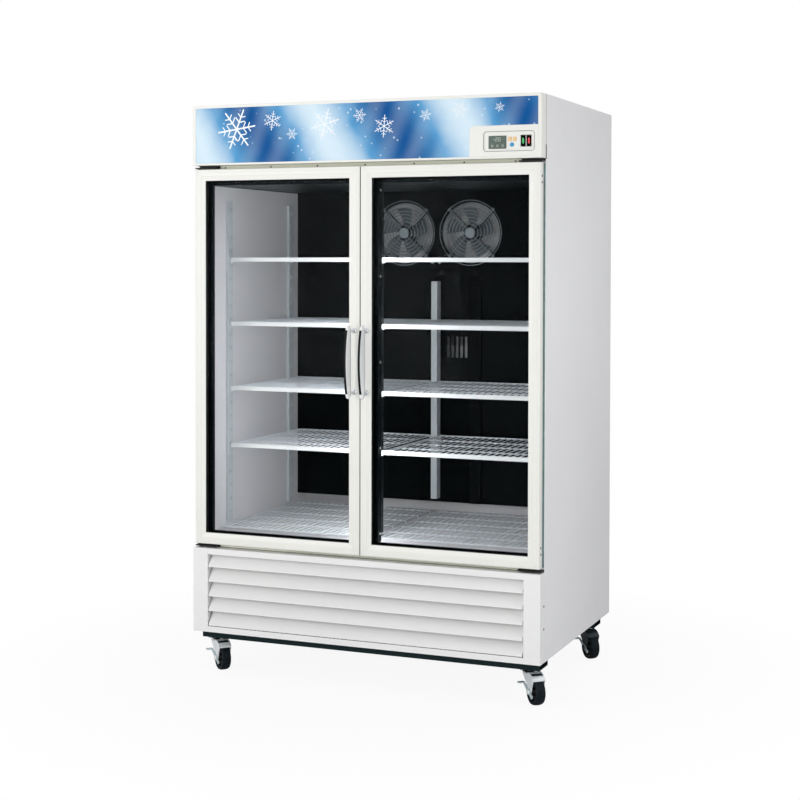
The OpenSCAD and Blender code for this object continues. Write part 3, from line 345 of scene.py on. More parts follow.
def rounded_copy(name, node, paint, edge, segments=2):
    """A copy of a CAD node, its flat faces merged and its edges rounded, in the node's place."""
    mesh = NODES[node].data.copy()
    mesh.name = name
    work = bmesh.new()
    work.from_mesh(mesh)
    bmesh.ops.remove_doubles(work, verts=work.verts, dist=2e-6)
    bmesh.ops.dissolve_limit(
        work, angle_limit=math.radians(0.6), verts=work.verts, edges=work.edges,
        delimit={"NORMAL"})
    work.to_mesh(mesh)
    work.free()
    mesh.materials.clear()
    mesh.materials.append(paint)
    mesh.polygons.foreach_set("material_index", np.zeros(len(mesh.polygons), np.int32))
    finish_mesh(mesh, merge=False)
    piece = put(name, mesh)
    soften(piece, edge, segments)
    return settle(piece, NODES[node]["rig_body"], (node,))


def dress(paint, *nodes):
    """Gives CAD nodes a material."""
    for node in nodes:
        NODES[node].data.materials.clear()
        NODES[node].data.materials.append(paint)


def shelf_levels():
    """Heights of the lower and upper edge of each price rail, from the lowest shelf up."""
    heights = np.array([vertex.co.z for vertex in NODES["price_rails"].data.vertices])
    return np.unique(np.round(heights, 4)).reshape(-1, 2)


# ---------------------------------------------------------------- shader maths


class Wire:
    """A socket of a material. Arithmetic on it adds Math nodes."""

    def __init__(self, recipe, socket):
        self.recipe = recipe
        self.socket = socket

    def __add__(self, other):
        return self.recipe.maths("ADD", self, other)

    def __sub__(self, other):
        return self.recipe.maths("SUBTRACT", self, other)

    def __rsub__(self, other):
        return self.recipe.maths("SUBTRACT", other, self)

    def __mul__(self, other):
        return self.recipe.maths("MULTIPLY", self, other)

    def __truediv__(self, other):
        return self.recipe.maths("DIVIDE", self, other)

    def __lt__(self, other):
        return self.recipe.maths("LESS_THAN", self, other)

    def __gt__(self, other):
        return self.recipe.maths("GREATER_THAN", self, other)

    __radd__ = __add__
    __rmul__ = __mul__


class Recipe:
    """Builds one material's nodes."""

    def __init__(self, name):
        self.material = bpy.data.materials.new(name)
        self.material.use_nodes = True
        self.tree = self.material.node_tree
        self.tree.nodes.clear()
        self.place = self.node("ShaderNodeTexCoord", out="Object")

    def node(self, kind, settings=None, values=None, out=0):
        """Adds a node, its settings first and then its sockets, and returns one output."""
        made = self.tree.nodes.new(kind)
        for key, value in (settings or {}).items():
            if key == "stops":
                self.set_stops(made.color_ramp, value)
            else:
                setattr(made, key, value)
        for key, value in (values or {}).items():
            if isinstance(value, Wire):
                self.tree.links.new(value.socket, made.inputs[key])
            else:
                made.inputs[key].default_value = value
        return Wire(self, made.outputs[out])

    @staticmethod
    def set_stops(ramp, stops):
        while len(ramp.elements) < len(stops):
            ramp.elements.new(1.0)
        for element, (position, value) in zip(ramp.elements, stops):
            element.position = position
            element.color = value

    def maths(self, operation, *values):
        return self.node("ShaderNodeMath", {"operation": operation}, dict(enumerate(values)))

    def noise(self, scale, detail=3.0, rough=0.5, where=None):
        values = {"Vector": where or self.place, "Scale": scale, "Detail": detail,
                  "Roughness": rough}
        return self.node("ShaderNodeTexNoise", None, values)

    def cells(self, scale, where=None, out="Distance"):
        """Voronoi cells: the distance to the nearest cell's middle, or that cell's own colour."""
        values = {"Vector": where or self.place, "Scale": scale}
        return self.node("ShaderNodeTexVoronoi", None, values, out)

    def stretched(self, x, y, z):
        """The place on the piece with each axis scaled by its own factor."""
        return self.node("ShaderNodeMapping", None, {"Vector": self.place, "Scale": (x, y, z)})

    def axis(self, name, where=None):
        return self.node("ShaderNodeSeparateXYZ", None, {0: where or self.place}, name)

    def ramp(self, value, stops):
        return self.node("ShaderNodeValToRGB", {"stops": stops}, {0: value})

    def span(self, value, low, high, start=0.0, end=1.0):
        """Maps a value from low..high to start..end, held at both ends."""
        values = {0: value, 1: low, 2: high, 3: start, 4: end}
        return self.node("ShaderNodeMapRange", {"clamp": True}, values)

    def mix(self, share, first, second):
        """A colour between two, by a share from 0 to 1."""
        settings = {"data_type": "RGBA", "clamp_factor": True}
        return self.node("ShaderNodeMix", settings, {0: share, 6: first, 7: second}, 2)

    def bump(self, height, distance, strength=1.0):
        values = {"Height": height, "Distance": distance, "Strength": strength}
        return self.node("ShaderNodeBump", None, values)

    def surface(self, **sockets):
        """A Principled shader with these sockets, an underscore standing for a space."""
        values = {key.replace("_", " "): value for key, value in sockets.items()}
        return self.node("ShaderNodeBsdfPrincipled", None, values)

    def close(self, shader):
        out = self.tree.nodes.new("ShaderNodeOutputMaterial")
        self.tree.links.new(shader.socket, out.inputs["Surface"])
        return self.material


def solid(value):
    return (*value[:3], 1.0)


def shade(value, factor):
    return (*[min(1.0, part * factor) for part in value[:3]], 1.0)


def powder_coat(name, value, rough=0.42, grain=1.0, shine=0.5, second=None, where=None):
    """Baked powder paint: orange peel of about 1 mm, faint clouds of tone, patches darker towards
    the bottom and soft handling marks in the roughness.
    A second colour takes over where a function of the recipe gives 1."""
    recipe = Recipe(name)
    clouds = recipe.noise(1.7, 4, 0.55)
    base = recipe.mix(recipe.span(clouds, 0.35, 0.65), shade(value, 0.965), shade(value, 1.0))
    # Patches darker towards the bottom, up to 0.35 m above the floor.
    low = recipe.span(recipe.axis("Z"), 0.0, 0.35, 1.0, 0.0) * recipe.noise(9, 5, 0.6)
    base = recipe.mix(low * 0.22, base, shade(value, 0.82))
    if where:
        base = recipe.mix(where(recipe), base, second)
    peel = recipe.noise(620, 2, 0.5)
    fine = recipe.noise(2300, 1, 0.5)
    roughness = recipe.span(recipe.noise(14, 5, 0.6), 0.3, 0.7, rough - 0.05, rough + 0.08)
    normal = recipe.bump(peel * 0.8 + fine * 0.2, 0.00006 * grain, 0.5)
    return recipe.close(recipe.surface(
        Base_Color=base, Roughness=roughness, Specular_IOR_Level=shine, Normal=normal))


def moulded(name, value, rough=0.35, draw=(1, 1, 1), shine=0.5):
    """Extruded or moulded plastic: faint lines along the draw, wandering tone and light scuffs."""
    recipe = Recipe(name)
    lines = recipe.noise(260, 3, 0.6, recipe.stretched(*draw))
    tone = recipe.noise(5, 3, 0.5)
    base = recipe.mix(recipe.span(tone, 0.3, 0.7), shade(value, 0.97), solid(value))
    scuff = recipe.span(recipe.noise(70, 6, 0.7), 0.55, 0.75)
    roughness = recipe.span(tone, 0.3, 0.7, rough, rough + 0.06) + scuff * 0.08
    normal = recipe.bump(lines, 0.00003, 0.4)
    return recipe.close(recipe.surface(
        Base_Color=base, Roughness=roughness, Specular_IOR_Level=shine, Normal=normal))


def metal(name, value, rough=0.25, draw=(1, 1, 1), wear=0.3, shine=1.0):
    """Plated or drawn metal: fine brushing along the draw, dulled in patches. Shine is how metallic
    it is, from 0 to 1."""
    recipe = Recipe(name)
    brush = recipe.noise(900, 2, 0.5, recipe.stretched(*draw))
    patch = recipe.span(recipe.noise(26, 5, 0.62), 0.38, 0.66)
    base = recipe.mix(patch * wear, solid(value), shade(value, 0.62))
    roughness = recipe.span(brush, 0.3, 0.7, rough, rough + 0.08) + patch * wear * 0.35
    normal = recipe.bump(brush, 0.00002, 0.5)
    return recipe.close(recipe.surface(
        Base_Color=base, Metallic=shine, Roughness=roughness, Normal=normal))


def galvanised(name):
    """Zinc-dipped sheet: spangles of 8 to 15 mm that differ in tone and dullness."""
    recipe = Recipe(name)
    tone = recipe.axis("X", recipe.cells(85, out="Color"))
    fine = recipe.noise(300, 3, 0.6)
    base = recipe.mix(tone, screen(150, 154, 158), screen(188, 191, 194))
    roughness = recipe.span(tone + fine * 0.3, 0.0, 1.3, 0.34, 0.55)
    normal = recipe.bump(fine, 0.00004, 0.4)
    return recipe.close(recipe.surface(
        Base_Color=base, Metallic=0.75, Roughness=roughness, Normal=normal))


def rubber(name, value, rough=0.6, shine=0.15):
    """Vulcanised rubber: dusty bloom in patches over a fine grain."""
    recipe = Recipe(name)
    bloom = recipe.span(recipe.noise(38, 6, 0.65), 0.42, 0.7)
    base = recipe.mix(bloom * 0.35, solid(value), shade(value, 2.1))
    roughness = recipe.span(bloom, 0, 1, rough, rough + 0.16)
    normal = recipe.bump(recipe.noise(1500, 3, 0.6), 0.00008, 0.5)
    return recipe.close(recipe.surface(
        Base_Color=base, Roughness=roughness, Specular_IOR_Level=shine, Normal=normal))


def enamel(name, value, rough=0.16, shine=0.5):
    """Glossy enamel or moulded resin with a faint flow."""
    recipe = Recipe(name)
    flow = recipe.noise(45, 3, 0.5)
    base = recipe.mix(flow, shade(value, 0.9), solid(value))
    normal = recipe.bump(flow, 0.00003, 0.3)
    roughness = recipe.span(flow, 0.3, 0.7, rough, rough + 0.07)
    return recipe.close(recipe.surface(
        Base_Color=base, Roughness=roughness, Specular_IOR_Level=shine, Normal=normal))


def clear_pane(name, tint=(0.984, 0.991, 0.991, 1.0)):
    """Float glass seen as a thin sheet: light passes nearly untinted, the sky is mirrored by
    Fresnel's share, and faint wipe marks dull the mirror a little."""
    recipe = Recipe(name)
    smear = recipe.span(recipe.noise(6, 4, 0.6, recipe.stretched(1, 1, 0.35)), 0.45, 0.8)
    share = recipe.node("ShaderNodeFresnel", None, {"IOR": 1.1})
    clear = recipe.node("ShaderNodeBsdfTransparent", None, {"Color": tint})
    mirror = recipe.node("ShaderNodeBsdfGlossy", None, {
        "Color": (0.9, 0.95, 1.0, 1.0), "Roughness": recipe.span(smear, 0, 1, 0.02, 0.14)})
    both = recipe.node("ShaderNodeMixShader", None, {0: share * 0.18, 1: clear, 2: mirror})
    return recipe.close(both)


def lamp_glass(name):
    """The frosted tube of a lamp, with a soft glow mottled by the frost."""
    recipe = Recipe(name)
    frost = recipe.noise(120, 3, 0.5)
    glow = recipe.mix(recipe.span(frost, 0.2, 0.8), screen(238, 240, 243), screen(250, 251, 255))
    return recipe.close(recipe.surface(
        Base_Color=glow, Roughness=0.3, Emission_Color=glow, Emission_Strength=42.0))


def printed_waves(name, colours, low, high):
    """The sign's print: slow waves of deep and pale blue follow each other along the panel, leaning
    with the height and bent by noise. Thin slanting bands of light and round dots of snow, one in
    each Voronoi cell, lie over them."""
    recipe = Recipe(name)
    along = recipe.span(recipe.axis("X"), low[0], high[0])
    height = recipe.span(recipe.axis("Z"), low[2], high[2])
    drift = recipe.noise(3.2, 4, 0.55)
    wave = recipe.maths("SINE", along * 15.7 + height * 1.4 + drift * 1.8) * 0.5 + 0.5
    base = recipe.ramp(wave, [
        (0.0, solid(colours.deep)), (0.55, solid(colours.middle)), (1.0, solid(colours.pale))])
    band = recipe.maths("SINE", along * 78 - height * 5 + drift * 3) * 0.5 + 0.5
    base = recipe.mix(band * 0.12, base, solid(colours.pale))
    dot = recipe.span(recipe.cells(34, where=recipe.stretched(1.0, 0.0, 1.0)), 0.1, 0.16, 1.0, 0.0)
    print_colour = recipe.mix(dot * 0.6, base, solid(colours.pale))
    roughness = recipe.span(drift, 0.3, 0.7, 0.16, 0.24)
    return recipe.close(recipe.surface(
        Base_Color=print_colour, Roughness=roughness, Specular_IOR_Level=0.02,
        Emission_Color=print_colour, Emission_Strength=0.06))


def wheel_rubber(name):
    """A caster's tyre: dark rubber, greyer where dust sits and finely scored by the floor."""
    recipe = Recipe(name)
    dust = recipe.span(recipe.noise(60, 5, 0.6), 0.4, 0.7)
    base = recipe.mix(dust * 0.4, screen(12, 20, 25), screen(40, 50, 56))
    score = recipe.noise(1100, 2, 0.5)
    normal = recipe.bump(score, 0.0001, 0.5)
    return recipe.close(recipe.surface(
        Base_Color=base, Roughness=recipe.span(dust, 0, 1, 0.45, 0.65), Specular_IOR_Level=0.1,
        Normal=normal))


def foam(name):
    """Blown foam: pale cells a few millimetres across."""
    recipe = Recipe(name)
    bubble = recipe.cells(260)
    base = recipe.mix(bubble, screen(206, 178, 120), screen(242, 224, 178))
    return recipe.close(recipe.surface(
        Base_Color=base, Roughness=0.9, Normal=recipe.bump(bubble, 0.0006, 0.7)))


def finned(name, value, pitch):
    """Pressed fins: rows of painted shade across X at a pitch for the gaps between fins, with dull
    edges.
    """
    recipe = Recipe(name)
    rows = recipe.maths("PINGPONG", recipe.axis("X") / pitch, 1.0)
    # The rows darken the fins' colour as painted shade in the gaps between them.
    base = recipe.mix(recipe.span(rows, 0.2, 0.6), shade(value, 0.3), solid(value))
    normal = recipe.bump(rows, 0.0004, 0.6)
    return recipe.close(recipe.surface(
        Base_Color=base, Metallic=0.7, Roughness=recipe.span(rows, 0, 1, 0.6, 0.35), Normal=normal))


def display_glass(name):
    """The display's window: grey-green, smoky in patches."""
    recipe = Recipe(name)
    smoke = recipe.noise(90, 3, 0.5)
    base = recipe.mix(smoke, screen(66, 84, 76), screen(82, 100, 90))
    return recipe.close(recipe.surface(
        Base_Color=base, Roughness=recipe.span(smoke, 0, 1, 0.1, 0.2)))


def on_shaded_ceiling(recipe):
    """1 on the liner's ceiling, which is painted dark as painted shade."""
    return recipe.axis("Z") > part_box("inner_liner")[1].z - 4 * MM


def on_mullion(recipe):
    """1 on the shelf standards behind the mullion, which are dark."""
    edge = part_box("centre_mullion")[1].x + 10 * MM
    return (recipe.maths("ABSOLUTE", recipe.axis("X")) < edge) * (recipe.axis("Y") < 0.0)


PAINTS = {}


def mix_paints(colours):
    """All the materials, each under a plain name."""
    low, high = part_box("header_sign")
    PAINTS.update(
        cabinet=powder_coat("cabinet_paint", colours.cabinet),
        kick=powder_coat("kick_paint", colours.kick, 0.4),
        # The liner's ceiling takes the dark trim colour as painted shade.
        liner=powder_coat(
            "liner_paint", colours.liner, 0.36, 1.6, 0.4, solid(colours.dark), on_shaded_ceiling),
        rail=powder_coat("rail_paint", colours.rail, 0.34, shine=0.12),
        trim=moulded("header_plastic", colours.trim, 0.34, (0.03, 1, 1)),
        upright=moulded("door_plastic", colours.trim, 0.32, (1, 1, 0.02)),
        # The flange is white paint; its olive tint is painted warm bounce light from the shaded
        # recess.
        flange=powder_coat("flange_paint", screen(240, 241, 222), 0.45),
        dark=moulded("dark_plastic", colours.dark, 0.34, (1, 1, 0.03), 0.04),
        # The duct panel is dark; its colour is pushed near black as painted shade for the deep
        # inside.
        duct=powder_coat("duct_paint", screen(6, 9, 10), 0.45, shine=0.02),
        gasket=rubber("seal_rubber", colours.gasket, 0.55),
        black=enamel("black_enamel", screen(4, 5, 6), 0.3, 0.02),
        spacer=metal("spacer_metal", screen(30, 34, 36), 0.4, shine=0.6),
        glass=clear_pane("clear_glass"),
        wire=moulded("wire_coat", screen(232, 236, 240), 0.3),
        label=moulded("price_rail", screen(240, 240, 241), 0.22, (0.03, 1, 1)),
        standard=powder_coat(
            "standard_paint", screen(196, 201, 205), 0.38, second=solid(colours.dark),
            where=on_mullion),
        chrome=metal("chrome_plate", screen(208, 212, 215), 0.12, wear=0.15),
        # One zinc in two copies: a pale, little metallic one painted light for the bright
        # reflections of the front forks, and a dark one as painted shade for the dark reflections
        # under the cabinet on the rear forks.
        bright=metal("bright_zinc", screen(240, 244, 246), 0.3, wear=0.3, shine=0.3),
        dull=metal("dull_zinc", screen(44, 56, 60), 0.35, wear=0.4, shine=0.4),
        shade=metal("shaded_zinc", screen(30, 46, 48), 0.35, wear=0.4, shine=0.3),
        screw=enamel("screw_black", screen(34, 30, 28), 0.4, 0.1),
        zinc=metal("zinc_plate", screen(186, 192, 197), 0.24, wear=0.4),
        steel=powder_coat("hinge_paint", screen(30, 32, 32), 0.4, shine=0.15),
        lever=metal("lever_steel", screen(196, 212, 216), 0.3, wear=0.5, shine=0.4),
        galvanised=galvanised("galvanised_sheet"),
        tyre=wheel_rubber("tyre_rubber"),
        hub=enamel("wheel_core", screen(14, 17, 20), 0.4, 0.15),
        grip=moulded("grip_plastic", screen(254, 254, 254), 0.22, (1, 1, 0.03), 1.0),
        spine=moulded("spine_plastic", screen(176, 182, 188), 0.3, (1, 1, 0.03)),
        # Seam and strip: colours of painted shadow in the seams beside the header, posts and doors.
        seam=rubber("seam_tape", screen(150, 146, 140), 0.6),
        strip=rubber("seal_strip", screen(122, 146, 145), 0.55),
        inlay=rubber("inlay_rubber", screen(12, 13, 14), 0.5),
        sign=printed_waves("sign_print", colours, low, high),
        flake=enamel("flake_vinyl", screen(244, 250, 255), 0.25),
        lamp=lamp_glass("lamp_tube"),
        display=display_glass("display_window"),
        digit=enamel("display_marks", screen(196, 206, 196), 0.3),
        outline=enamel("panel_outline", screen(140, 146, 142), 0.35),
        button_orange=enamel("orange_key", screen(240, 200, 140), 0.3),
        button_blue=enamel("blue_key", screen(28, 146, 200), 0.25),
        lens_green=enamel("green_lens", screen(20, 186, 84), 0.12),
        lens_red=enamel("red_lens", screen(224, 34, 44), 0.12),
        fan=moulded("fan_plastic", screen(60, 68, 74), 0.4),
        guard=enamel("guard_wire", screen(120, 130, 136), 0.3),
        machine=powder_coat("machine_paint", screen(24, 24, 26), 0.35, shine=0.2),
        coil=finned("coil_fins", screen(180, 184, 188), 0.0035),
        radiator=finned("radiator_fins", screen(60, 62, 64), 0.0035),
        pan=moulded("pan_plastic", screen(52, 54, 58), 0.45),
        foam=foam("blown_foam"),
        cap=enamel("cap_plastic", screen(238, 240, 238), 0.3),
        rubber=rubber("gland_rubber", screen(24, 24, 25)),
    )


# ---------------------------------------------------------------- stage


class FREEZER_OT_stage(bpy.types.Operator):
    """Camera, lamps, world and floor."""
    bl_idname = "freezer.stage"
    bl_label = "Stage"

    def execute(self, context):
        light = context.scene.freezer_light
        context.scene.view_settings.view_transform = "Standard"
        self.camera(context, light)
        self.world(context, light)
        self.floor()
        self.lamp("key", (-2.6, -4.8, 1.9), (2.6, 2.6), light.key, (1.0, 0.996, 0.99))
        self.lamp("front", (1.2, -5.8, 0.9), (2.4, 2.4), light.fill, (1.0, 1.0, 1.0))
        self.lamp("side", (2.2, -0.9, 1.3), (0.8, 1.2), light.side, (0.985, 0.99, 1.0))
        return {"FINISHED"}

    def camera(self, context, light):
        """The view that was fitted to the photograph: stand, yaw, pitch and roll, and shift."""
        stand, angles, shift = (2.1811, -5.3319, 1.4611), (22.396, 88.7, 0.113), -0.1279
        lens = bpy.data.cameras.new("photo_camera")
        lens.lens = light.focal / MM
        lens.sensor_width = 36
        lens.shift_y = shift
        camera = put("photo_camera", lens)
        turn = Matrix.Translation(stand)
        for angle, axis in zip(angles, "ZXZ"):
            turn = turn @ Matrix.Rotation(math.radians(angle), 4, axis)
        camera.matrix_world = turn
        context.scene.camera = camera

    def world(self, context, light):
        """White where the camera or a mirror sees it, and a plain level of light otherwise."""
        world = bpy.data.worlds.new("studio")
        world.use_nodes = True
        tree = world.node_tree
        tree.nodes.clear()
        rays, level, back, out = (tree.nodes.new("ShaderNode" + kind) for kind in (
            "LightPath", "MapRange", "Background", "OutputWorld"))
        seen = rays.outputs["Is Camera Ray"]
        for name in ("Is Transmission Ray", "Is Glossy Ray"):
            either = tree.nodes.new("ShaderNodeMath")
            either.operation = "MAXIMUM"
            tree.links.new(seen, either.inputs[0])
            tree.links.new(rays.outputs[name], either.inputs[1])
            seen = either.outputs[0]
        back.inputs["Color"].default_value = (1, 1, 1, 1)
        level.inputs["To Min"].default_value = light.sky
        level.inputs["To Max"].default_value = 1.0
        tree.links.new(seen, level.inputs["Value"])
        tree.links.new(level.outputs[0], back.inputs["Strength"])
        tree.links.new(back.outputs[0], out.inputs["Surface"])
        context.scene.world = world

    def floor(self):
        """A pale floor that fades to the white of the world away from the freezer."""
        recipe = Recipe("pale_floor")
        rays = recipe.node("ShaderNodeLightPath", out="Is Camera Ray")
        far = recipe.node(
            "ShaderNodeVectorMath", {"operation": "LENGTH"}, {0: recipe.place}, "Value")
        fade = recipe.span(far, 0.7, 1.7, 0.92, 1.0) * rays
        tone = recipe.mix(recipe.noise(3, 3), (0.86, 0.86, 0.86, 1), (0.88, 0.88, 0.88, 1))
        matte = recipe.node("ShaderNodeBsdfDiffuse", None, {"Color": tone})
        white = recipe.node(
            "ShaderNodeEmission", None, {"Color": (1, 1, 1, 1), "Strength": 1.0})
        shader = recipe.node("ShaderNodeMixShader", None, {0: fade, 1: matte, 2: white})
        half, sunk = 12, 0.0002
        span = np.linspace(-half, half, 2 * half + 1)
        x, y = np.meshgrid(span, span, indexing="ij")
        shape = Shape().grid(np.stack([x, y, np.zeros_like(x) - sunk], -1))
        put("floor", shape.mesh("floor", [recipe.close(shader)]))

    def lamp(self, name, place, size, power, tint):
        """An area lamp that looks at the middle of the freezer, 1 m above the floor."""
        lamp = bpy.data.lights.new(name, "AREA")
        lamp.shape = "RECTANGLE"
        lamp.size, lamp.size_y = size
        lamp.energy = power
        lamp.color = tint
        holder = put(name, lamp)
        holder.location = place
        holder.visible_camera = False
        aim = Vector((0, 0, 1.0)) - Vector(place)
        holder.rotation_euler = aim.to_track_quat("-Z", "Y").to_euler()


# ---------------------------------------------------------------- cabinet


class FREEZER_OT_case(bpy.types.Operator):
    """The folded side panels, the top, back and liner."""
    bl_idname = "freezer.case"
    bl_label = "Case"

    def execute(self, context):
        sizes = context.scene.freezer_sizes
        for side, sign in SIDES.items():
            self.side_panel(side, sign, sizes.edge)
        rounded_copy("top_sheet", "top_panel", PAINTS["cabinet"], 0.4 * MM)
        dress(PAINTS["galvanised"], "back_panel", "base_pan")
        dress(PAINTS["liner"], "inner_liner")
        dress(PAINTS["foam"], "insulation")
        return {"FINISHED"}

    def side_panel(self, side, sign, fold):
        """A sheet whose section is a long flat with a quarter-circle fold and a short front lip."""
        node = side + "_side_panel"
        low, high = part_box(node)
        inner, outer = beside(low, high)
        sheet = 1 * MM
        centre = (outer - fold, low.y + fold)
        outline = np.concatenate([
            [(inner, low.y)], arc(centre, fold, -90, 0), [(outer, high.y), (outer - sheet, high.y)],
            arc(centre, fold - sheet, 0, -90), [(inner, low.y + sheet)]])
        outline[:, 0] *= sign
        shape = Shape().prism(outline, "z", low.z, high.z)
        build(side + "_side_sheet", shape, "cabinet", [PAINTS["cabinet"]], (node,))


class FREEZER_OT_header(bpy.types.Operator):
    """The header's case, its sign with snowflakes, and the lamps."""
    bl_idname = "freezer.header"
    bl_label = "Header"

    def execute(self, context):
        sizes = context.scene.freezer_sizes
        rounded_copy("header_shell", "header_case", PAINTS["trim"], sizes.edge, 3)
        dress(PAINTS["sign"], "header_sign")
        dress(PAINTS["lamp"], "lamps")
        self.snow(sizes.flake)
        return {"FINISHED"}

    def snow(self, largest):
        """Snowflakes cut from thin vinyl. Each has six arms, and each arm two pairs of twigs at
        60 degrees, drawn as bars from the middle outwards."""
        low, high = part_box("header_sign")
        face = low.y
        middle = low.z + 0.6 * (high.z - low.z)
        flakes = ((-0.47, 0.0, 1.0, 8), (-0.33, 26 * MM, 0.46, 22), (-0.255, -22 * MM, 0.3, 0),
                  (-0.13, 8 * MM, 0.74, 15), (0.0, 34 * MM, 0.34, 5), (0.09, -6 * MM, 0.52, 26),
                  (0.24, 26 * MM, 0.3, 12), (0.36, 40 * MM, 0.42, 3), (0.5, 44 * MM, 0.24, 18))
        shape = Shape()
        for x, rise, scale, lean in flakes:
            self.flake(shape, (x, middle + rise), largest * scale, lean, face)
        build("frost_flakes", shape, "cabinet", [PAINTS["flake"]])

    def flake(self, shape, centre, radius, lean, face):
        """Bars of an arm, each with its root and reach as shares of the arm, its turn from the
        arm's direction and its width. Every bar is a little thicker than the last, so that none
        lies in the face of another."""
        twigs = ((0.36, 0.3, 0.055), (0.62, 0.24, 0.05))
        bars = [(0.0, 1.0, 0.0, 0.075)] + [
            (root, reach, fork, width) for root, reach, width in twigs for fork in (60, -60)]
        for arm in range(6):
            lean_arm = arm * 60 + lean
            turn = math.radians(lean_arm)
            ahead = np.array([math.cos(turn), math.sin(turn)])
            for layer, (start, reach, fork, width) in enumerate(bars):
                twig = math.radians(lean_arm + fork)
                way = np.array([math.cos(twig), math.sin(twig)])
                half = radius * width / 2
                across = np.array([-way[1], way[0]]) * half
                root = np.array(centre) + ahead * radius * start
                tip = root + way * radius * reach
                outline = [root - across, tip - across, tip + way * half, tip + across,
                           root + across]
                thick = (0.25 + 0.02 * layer + 0.01 * arm) * MM
                shape.prism(outline, "y", face - thick, face - 0.02 * MM)


class FREEZER_OT_controls(bpy.types.Operator):
    """The bezel, panel, display, buttons and rockers."""
    bl_idname = "freezer.controls"
    bl_label = "Controls"

    def execute(self, context):
        rounded_copy("bezel_shell", "control_bezel", PAINTS["trim"], 0.9 * MM)
        rounded_copy("panel_plate", "control_panel", PAINTS["trim"], 0.3 * MM)
        for name in ("left_square_button", "right_square_button"):
            rounded_copy(name + "_key", name, PAINTS["button_orange"], 1.2 * MM, 3)
        rounded_copy("round_button_key", "round_button", PAINTS["button_blue"], 0.8 * MM, 3)
        for name in ROCKERS:
            self.rocker(name)
        self.trim()
        self.display()
        return {"FINISHED"}

    def trim(self):
        """A grey line round the panel's window and a black surround for each rocker."""
        low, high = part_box("control_panel")
        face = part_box("header_sign")[0].y
        seat = 2 * MM
        outline = rounded((low.x + seat, low.z + seat), (high.x - seat, high.z - seat), 10 * MM, 9)
        line = lift(outline, "y", face - 1.2 * MM)
        shape = Shape().tube(line, 1.1 * MM, 8, up=(0, 1, 0), closed=True)
        build("window_line", shape, "cabinet", [PAINTS["outline"]])
        shape = Shape()
        for name in ROCKERS:
            low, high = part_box(name)
            x, _, z = JOINTS[name + "_tilt"]["pos_m"]
            half, tall = 8.4 * MM, (high.z - low.z) / 2 + 3.6 * MM
            profile = mm((0, 0), (0, -1), (0.5, -1.4), (1.1, -1.4), (1.3, 0)) + (0, face)
            shape.mitred((x - half, z - tall), (x + half, z + tall), profile)
        build("rocker_surrounds", shape, "cabinet", [PAINTS["black"]])

    def rocker(self, name):
        """A black paddle with a coloured lens let into its two flats. Across the lens, its face
        sinks with the cube of the distance from the middle, and along it, with the fourth power."""
        rounded_copy(name + "_paddle", name, PAINTS["black"], 0.7 * MM)
        x, _, z = JOINTS[name + "_tilt"]["pos_m"]
        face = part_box("header_sign")[0].y
        half, tall, paddle = 4.3 * MM, 11.5 * MM, 15.5
        along = np.linspace(-tall, tall, 25)
        front = face - 1.2 * MM - np.where(along > 0, 1.8, 1.4) * along / paddle
        sunk = front + 0.6 * MM
        bow = 1 - (along / tall) ** 4
        columns = []
        for share in (-1, -0.8, -0.4, 0, 0.4, 0.8, 1):
            drop = abs(share) ** 3
            lens = ((front - 0.5 * MM) * (1 - drop) + sunk * drop) * bow + sunk * (1 - bow)
            columns.append(np.stack([x + share * half + 0 * along, lens, z + along], 1))
        columns = np.array(columns)
        rim = np.concatenate([columns[0], columns[1:, -1], columns[-1][-2::-1],
                              columns[-2:0:-1, 0]])
        well = rim + (0, 1.5 * MM, 0)
        shape = Shape().grid(columns).grid(np.stack([rim, well]), wrap_columns=True)
        shape.add(well, [np.arange(len(well))[None]])
        tint = name.split("_")[0]
        build(name + "_lens", shape, name, [PAINTS["lens_" + tint]])

    def display(self):
        """A window with a minus sign and two seven-bar digits over a row of small round marks."""
        low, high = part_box("control_panel")
        face = low.y
        left = low.x + 19 * MM
        right = left + 62 * MM
        middle = (low.z + high.z) / 2 - 3 * MM
        bottom, top = middle - 21.5 * MM, middle + 21.5 * MM
        outline = rounded((left, bottom), (right, top), 2 * MM)
        shape = Shape().prism(outline, "y", face - 0.7 * MM, face)
        build("display_pane", shape, "cabinet", [PAINTS["display"]], edge=0.3 * MM)
        marks = Shape()
        front = face - 0.9 * MM
        tall, wide, bar = mm(13, 7, 1.3)
        base = middle + 3 * MM

        def stroke(x0, z0, x1, z1):
            outline = rounded((x0, z0), (x1, z1), 0.3 * MM, 3)
            marks.prism(outline, "y", front, face - 0.65 * MM)

        half = tall / 2
        bars = {
            "top": (0, tall - bar, wide, tall), "middle": (0, half - bar / 2, wide, half + bar / 2),
            "bottom": (0, 0, wide, bar), "upper_left": (0, half, bar, tall),
            "upper_right": (wide - bar, half, wide, tall), "lower_left": (0, 0, bar, half),
            "lower_right": (wide - bar, 0, wide, half)}
        two = ("top", "upper_right", "middle", "lower_left", "bottom")
        nought = ("top", "upper_left", "upper_right", "lower_left", "lower_right", "bottom")
        start = left + 24 * MM
        stroke(start - 7 * MM, base + half - bar / 2, start - 2 * MM, base + half + bar / 2)
        for digit, shift in ((two, 0), (nought, 10 * MM)):
            for key in digit:
                x0, z0, x1, z1 = bars[key]
                stroke(start + shift + x0, base + z0, start + shift + x1, base + z1)
        dot = mm((0, -0.3), (1.2, -0.2), (1.4, 0.3), (0, 0.3))
        for step in range(3):
            centre = (left + (13 + 18 * step) * MM, front, bottom + 10 * MM)
            marks.ring(centre, "y", 3.4 * MM, 0.55 * MM, 20, 6)
            marks.lathe(dot, centre, (0, 1, 0), 14)
        build("display_figures", marks, "cabinet", [PAINTS["digit"]])


